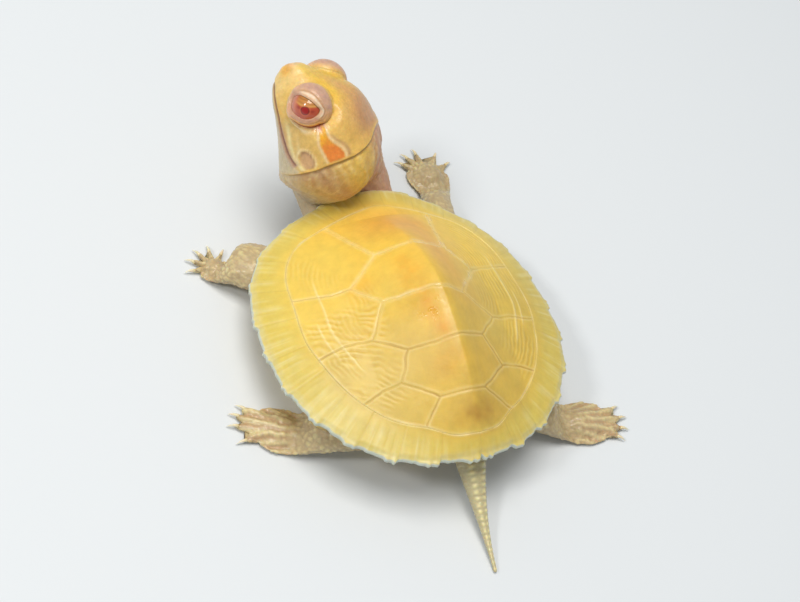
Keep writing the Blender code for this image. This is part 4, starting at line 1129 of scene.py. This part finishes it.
def limbSurface(name):
    # oval rings along the leg, then rings across the foot, each a level line of a disc:
    # u = q sqrt(1 - p^2/2), v = p sqrt(1 - q^2/2)
    foot = feet[name]
    stations = np.array(limbs[foot["leg"]])
    columns = footShape["columns"]
    turn = np.linspace(0, 2 * math.pi, columns, endpoint=False)
    q, rise = np.cos(turn), np.sin(turn)
    centres = stations[:, :3]
    side, up = pathSides(centres)
    rings = [centre + stations[i, 3] * q[:, None] * side[i] + stations[i, 4] * rise[:, None] * up[i]
             for i, centre in enumerate(centres)]
    forward, sideways = heading(foot["heading"]), heading(foot["heading"] + 90)
    middle = np.array([*foot["centre"], 0])
    longHalf, wideHalf = foot["halfSizes"]
    legEnd = float(((centres[-1] - middle) @ forward) / longHalf)
    steps = [step for step in footShape["rings"] if step > legEnd + 0.35]
    for p in steps:
        u, v = q * math.sqrt(1 - p * p / 2), p * np.sqrt(1 - q * q / 2)
        flat = (u * wideHalf)[:, None] * sideways + (v * longHalf)[:, None] * forward
        angle = np.degrees(np.arctan2(flat[:, 0], -flat[:, 1]))
        angle = foot["heading"] + (angle - foot["heading"] + 180) % 360 - 180
        radial = np.hypot(u, v)
        oval = np.linalg.norm(flat, axis=1) / np.maximum(radial, 1e-6)
        stretch = footEdge(foot, angle) / oval
        flat = flat * mix(1.0, stretch, radial**3)[:, None]
        lobes = toeLobes(angle, foot["toes"], footShape["toeWidth"] * 1.1)
        bulge = np.sqrt(np.clip(1 - radial**4, 0, 1))
        thick = footShape["thickness"] * mix(1.0, 0.5, smoothStep(radial, 0.2, 0.95)) * (0.1 + 0.9 * bulge)
        thick = thick * mix(1.0, 0.6 + 0.75 * lobes, smoothStep(radial, 0.45, 0.9))
        thick = thick * mix(1.15, 1.0, smoothStep(np.array(p), -0.6, 0.3))
        base = footShape["soleLift"] * smoothStep(radial, 0.6, 1.0) * 2 + floorGap
        top = np.where(rise >= 0, np.abs(rise) ** 0.35, 0) * thick
        shelf = 0.16 * (1 - np.abs(rise)) ** 0.5
        rings.append(middle + flat + np.stack([0 * top, 0 * top, base + top + shelf], axis=1))
    keys = np.array(rings)
    spacing = np.linalg.norm(np.diff(keys.mean(axis=1), axis=0), axis=1)
    knots = np.concatenate([[0], np.cumsum(spacing)])
    at = np.concatenate([np.linspace(0, knots[len(centres) - 1], footShape["legRows"], endpoint=False),
                         np.linspace(knots[len(centres) - 1], knots[-1], footShape["footRows"])])
    grid = spline(at, knots, keys)
    surface = tubeSurface(grid)
    normals = vertexNormals(surface)
    points = surface["points"]
    nearest, second = pebbleNoise(points, 0.62, 5)
    scale = smoothStep(second - nearest, 0.02, 0.4)
    low = smoothStep(points[:, 2], 0.15, 0.5)
    points = points + normals * ((0.09 * (scale - 0.5) + 0.06 * cloudNoise(points, 1.1, 6)) * low)[:, None]
    points[:, 2] = np.maximum(points[:, 2], floorGap)
    tint = plainTint("#c9b588", points)
    tint = paint(tint, "#e2d197", scale * smoothStep(cloudNoise(points, 1.3, 9), -0.3, 0.4) * 0.7)
    tint = paint(tint, "#a8876a", (1 - scale) * 0.35)
    if name.startswith("hind"):
        root = middle - forward * longHalf * 1.5
        fan = np.degrees(np.arctan2((points - root) @ sideways, (points - root) @ forward))
        fan = fan + 3 * cloudNoise(points, 1.5, 8)
        onFoot = smoothStep((points - middle) @ forward, -2.2, 0.5) * low
        crease = np.cos(np.radians(fan * 360 / 7.5)) * onFoot
        points = points + normals * (0.07 * crease)[:, None]
        points[:, 2] = np.maximum(points[:, 2], floorGap)
        tint = paint(tint, "#efe0a8", np.clip(crease, 0, 1) * 0.45)
        tint = paint(tint, "#c0906c", np.clip(-crease, 0, 1) * 0.45)
    return {**surface, "points": points, "tint": tint}


tailShape = {"root": (-1.4, 10.6, 4.7), "tip": (-0.75, 23.4, 0.26), "rootRadius": 2.1, "tipRadius": 0.17,
             "sag": 0.5, "taper": 1.7, "ring": 0.42, "rows": 170, "columns": 44}


def tailSurface():
    # round rings down a sagging line, with rings of scales and two rows of beads along the back
    rows, columns = tailShape["rows"], tailShape["columns"]
    t = np.linspace(0, 1, rows)
    root, tip = np.array(tailShape["root"]), np.array(tailShape["tip"])
    sag = np.array([0, 0, tailShape["sag"]]) * np.sin(math.pi * t)[:, None]
    centre = root + (tip - root) * t[:, None] - sag
    side, up = pathSides(centre)
    turn = np.linspace(0, 2 * math.pi, columns, endpoint=False)
    radius = mix(tailShape["tipRadius"], tailShape["rootRadius"], (1 - t) ** tailShape["taper"])
    length = np.linalg.norm(tip - root) * t
    fade = smoothStep(t, 0.98, 0.9)
    bead = np.maximum(bump(np.degrees(turn) - 62, 15), bump(np.degrees(turn) - 118, 15))
    pulse = 0.5 + 0.5 * np.cos(length[:, None] * 2 * math.pi / (tailShape["ring"] * 1.5))
    ringWave = 0.5 + 0.5 * np.cos(length[:, None] * 2 * math.pi / tailShape["ring"] + 0.8 * np.sin(3 * turn))
    size = radius[:, None] * (1 + 0.1 * bead * (pulse**0.6 - 0.3)) + 0.03 * (ringWave - 0.5) * fade[:, None]
    size = size * np.sqrt(np.clip(1 - ((t - 0.985) / 0.015).clip(0, 1) ** 2, 0.01, 1))[:, None]
    around = np.cos(turn)[:, None] * side[:, None] + np.sin(turn)[:, None] * up[:, None]
    grid = centre[:, None] + size[..., None] * around
    surface = tubeSurface(grid)
    shade = np.concatenate([(bead * pulse).ravel(), [0, 0]])
    tint = paint(plainTint("#c6ba90", surface["points"]), "#f0e4a8", shade)
    surface["points"][:, 2] = np.maximum(surface["points"][:, 2], floorGap)
    return {**surface, "tint": tint}


trunk = {"share": 0.8, "waist": 0.28, "headroom": 1.5, "flatness": 0.7, "floor": 0.95, "steps": 40,
         "rings": 16}


def trunkSurface():
    # a cushion between the shell's halves: share of the rim = sin(v)^0.7, from plastron to carapace
    v = np.linspace(0.01, math.pi - 0.01, trunk["rings"])[:, None]
    angle = np.linspace(-math.pi, math.pi, trunk["steps"], endpoint=False)[None, :]
    reach = np.sin(v) ** trunk["flatness"] * trunk["share"] * rimReach(angle)
    y = shell["middleY"] - reach * np.cos(angle)
    x = reach * np.sin(angle) * (1 - trunk["waist"] * bridgeShare(y))
    ceiling = shellHeight(x, y) - trunk["headroom"]
    z = trunk["floor"] + (ceiling - trunk["floor"]) * (0.5 - 0.5 * np.cos(v))
    surface = tubeSurface(np.stack([x, y, z + 0 * angle], axis=-1))
    return {**surface, "tint": plainTint("#c4a878", surface["points"])}


def skinMaterial(name):
    # bare wet reptile skin without dark pigment: light sinks in and comes back warm, under a film of water.
    # Its colour varies in spots about 0.5 mm apart, and its grain is scales 0.28 mm wide
    material, tree, shader = principledMaterial(name, {
        "Roughness": 0.42, "Subsurface Weight": 0.3, "Subsurface Radius": (1.0, 0.5, 0.25),
        "Subsurface Scale": 0.35 * mm, "Coat Weight": 0.3, "Coat Roughness": 0.15, "IOR": 1.42})
    place = addNode(tree, "ShaderNodeTexCoord").outputs["Object"]
    mottledTint(tree, shader, place, 1.9, 0.65, 0.86, 1.08)
    cells = addNode(tree, "ShaderNodeTexVoronoi", Vector=place, Scale=3.6 / mm)
    relief = addNode(tree, "ShaderNodeBump", Height=cells.outputs["Distance"], Strength=0.55,
                     Distance=0.05 * mm)
    tree.links.new(relief.outputs["Normal"], shader.inputs["Normal"])
    return material


fleshNodes = ["head", "jaw", "neck", "trunk", "tail"] + list(limbs) + list(feet)
limbParts = [limbSurface(name) for name in feet]
wholeSkin = joinSurfaces([headSurface(), lidSurface(1), lidSurface(-1), tailSurface(), trunkSurface()]
                         + limbParts)
wholeSkin["points"] = wholeSkin["points"] + shellPlace
skin = makePiece("skin", wholeSkin, skinMaterial("wetReptileSkin"), ("tint",))
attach(skin, "root")
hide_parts(*fleshNodes)
print("skin made", len(wholeSkin["quads"]) * 2 + len(wholeSkin["triangles"]), "triangles")


def eyeSurface(side):
    # a ball whose rings are centred on the pupil, with the rings closer together in front
    rows, columns = head["eyeRows"], head["eyeColumns"]
    off = math.pi * np.linspace(0.002, 0.998, rows) ** 1.5
    turn = np.linspace(0, 2 * math.pi, columns, endpoint=False)
    gaze = unit(np.array(head["gaze"]))
    rightward = unit(np.cross(gaze, [0, 0, 1.0]))
    upward = np.cross(rightward, gaze)
    ring = np.cos(turn)[:, None] * rightward + np.sin(turn)[:, None] * upward
    directions = np.cos(off)[:, None, None] * gaze + np.sin(off)[:, None, None] * ring
    radius = head["eyeRadius"] + head["corneaRise"] * bump(off, head["corneaWidth"])[:, None, None]
    grid = (np.array(head["eyeCentre"]) + directions * radius) * [side, 1, 1]
    surface = tubeSurface(grid, flip=side < 0)
    reach = head["eyeRadius"] * np.sin(np.minimum(off, math.pi / 2))[:, None] + 0 * turn
    place = grid.reshape(-1, 3)
    spokes = np.tile(turn * 6, rows)
    streak = cloudNoise(np.stack([spokes, 0 * spokes, 0 * spokes], axis=1), 1.0, 3)
    reach = reach.ravel()
    offset = (place * [side, 1, 1] - head["eyeCentre"]) - gaze * head["eyeRadius"]
    across, above = offset @ np.array([0, 0.72, 0.69]), offset @ np.array([0, -0.69, 0.72])
    tint = plainTint("#b84a28", place)
    tint = paint(tint, "#c2602f", smoothStep(streak, -0.6, 0.8) * 0.35)
    wavy = above + 0.05 * cloudNoise(place, 0.5, 7) - 0.1 * across
    tint = paint(tint, "#c8883c", smoothStep(wavy, 0.25, 0.42) * 0.9)
    for level, shade, strength in ((0.42, "#dfae5e", 0.45), (0.6, "#8a5d2c", 0.4), (0.86, "#6f4d20", 0.5)):
        tint = paint(tint, shade, bump(wavy - level, 0.06) * strength)
    tint = paint(tint, "#cf7048", smoothStep(across, -0.75, -1.2) * 0.8)
    tint = paint(tint, "#9c3a20", smoothStep(reach, 1.15, 1.6) * 0.5)
    tint = paint(tint, "#8e2415", bump(above - 0.04, 0.13) * smoothStep(np.abs(across), 1.1, 0.7) * 0.75)
    tint = paint(tint, "#d86a42", bump(reach - head["pupil"] - 0.13, 0.07) * 0.4)
    tint = paint(tint, "#4c0b06", bump(reach - head["pupil"], 0.06) * 0.8)
    tint = paint(tint, "#9c1108", smoothStep(reach, head["pupil"] + 0.02, head["pupil"] - 0.07))
    surface["tint"] = np.concatenate([tint, [tint[0]], [tint[-1]]])
    surface["points"] = headToBody(surface["points"]) + shellPlace
    return surface


def eyeMaterial(name):
    # a wet eyeball without dark pigment: blood-red depth behind a clear cornea as glossy as water
    settings = {"Roughness": 0.3, "Coat Weight": 1.0, "Coat Roughness": 0.03, "IOR": 1.38}
    material, tree, shader = principledMaterial(name, settings)
    tree.links.new(attributeSocket(tree, "tint", "Color"), shader.inputs["Base Color"])
    return material


wetEye = eyeMaterial("wetEyeball")
for name, side in (("left", 1), ("right", -1)):
    eye = makePiece("eyeball_" + name, eyeSurface(side), wetEye, ("tint",))
    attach(eye, "root")
    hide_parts("eye_" + name)
print("eyes made")


claws = {"length": 0.8, "rootRadius": 0.19, "tipRadius": 0.025, "inside": 0.3, "height": 0.5,
         "tipHeight": 0.2, "rows": 18, "sides": 12}


def clawSurface(name):
    # for each toe a round cone that bends down: radius falls as the 0.8 power of what is left of its length
    foot = feet[name]
    t = np.linspace(0, 1, claws["rows"])
    turn = np.linspace(0, 2 * math.pi, claws["sides"], endpoint=False)
    up = np.array([0, 0, 1.0])
    surfaces = []
    for toe in foot["toes"]:
        out = heading(float(toe))
        reach = footEdge(foot, np.array(float(toe))) - claws["inside"]
        start = np.array([*foot["centre"], 0]) + out * reach
        lift = claws["height"] + 0.12 * np.sin(t * math.pi) + (claws["tipHeight"] - claws["height"]) * t**2
        centre = start + out * ((claws["length"] + claws["inside"]) * t)[:, None] + up * lift[:, None]
        radius = mix(claws["tipRadius"], claws["rootRadius"], (1 - t) ** 0.8)
        side = np.cross(up, out)
        around = np.cos(turn)[:, None] * side + np.sin(turn)[:, None] * up
        grid = centre[:, None] + radius[:, None, None] * around
        surface = tubeSurface(grid)
        pale = np.concatenate([np.repeat(t, claws["sides"]), [0, 1]])
        surface["tint"] = paint(plainTint("#e3cf9c", surface["points"]), "#f2ecd8", pale)
        surfaces.append(surface)
    joined = joinSurfaces(surfaces)
    joined["points"] = joined["points"] + shellPlace
    joined["gloss"] = np.full(len(joined["points"]), 0.4)
    return joined


clawHorn = hornMaterial("keratinClaw", 0.35, 0.4)
for name in feet:
    claw = makePiece("claws_" + name, clawSurface(name), clawHorn, ("tint", "gloss"))
    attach(claw, "root")
    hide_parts(*[f"claw_{name}_{number + 1}" for number in range(len(feet[name]["toes"]))])
print("claws made")


view = {"eye": (65.651, 60.917, 123.914), "right": (-0.88596, 0.35920, 0.29334),
        "up": (-0.15535, -0.82585, 0.54207), "back": (0.43696, 0.43468, 0.78747),
        "lens": 67.74, "sensor": 36.0}
camera = bpy.data.objects.new("camera", bpy.data.cameras.new("camera"))
camera.data.lens = view["lens"]
camera.data.sensor_width = view["sensor"]
camera.data.clip_start = 0.01
turned = Matrix((view["right"], view["up"], view["back"])).transposed().to_4x4()
camera.matrix_world = Matrix.Translation((np.array(view["eye"]) + shellPlace) * mm) @ turned
bpy.context.scene.collection.objects.link(camera)
bpy.context.scene.camera = camera
bpy.context.scene.view_settings.view_transform = "Standard"

# pale matte paper, which shows soft shadows and mirrors nothing
floorSettings = {"Base Color": (*linearColour("#dfe3e6"), 1), "Roughness": 0.7}
floorMaterial = principledMaterial("mattePaperFloor", floorSettings)[0]
floorMesh = bpy.data.meshes.new("floor")
floorMesh.from_pydata([(-2, -2, 0), (2, -2, 0), (2, 2, 0), (-2, 2, 0)], [], [(0, 1, 2, 3)])
floorMesh.materials.append(floorMaterial)
floor = bpy.data.objects.new("floor", floorMesh)
bpy.context.scene.collection.objects.link(floor)

sky = {"Color": (0.86, 0.93, 1.0, 1), "Strength": 0.36}
world = bpy.data.worlds.new("studio")
bpy.context.scene.world = world
world.use_nodes = True
for socket, value in sky.items():
    world.node_tree.nodes["Background"].inputs[socket].default_value = value


def softbox(name, place, size, watts, colour):
    # a square area light that faces the turtle
    light = bpy.data.lights.new(name, "AREA")
    light.size = size
    light.energy = watts
    light.color = colour
    lamp = bpy.data.objects.new(name, light)
    lamp.location = place
    lamp.rotation_euler = Vector(place).to_track_quat("Z", "Y").to_euler()
    bpy.context.scene.collection.objects.link(lamp)


softbox("key", (0.05, -0.04, 0.43), 0.22, 1.3, (1.0, 0.96, 0.9))
softbox("window", (0.34, 0.0, 0.34), 0.07, 0.55, (1.0, 0.99, 0.97))
print("studio made")
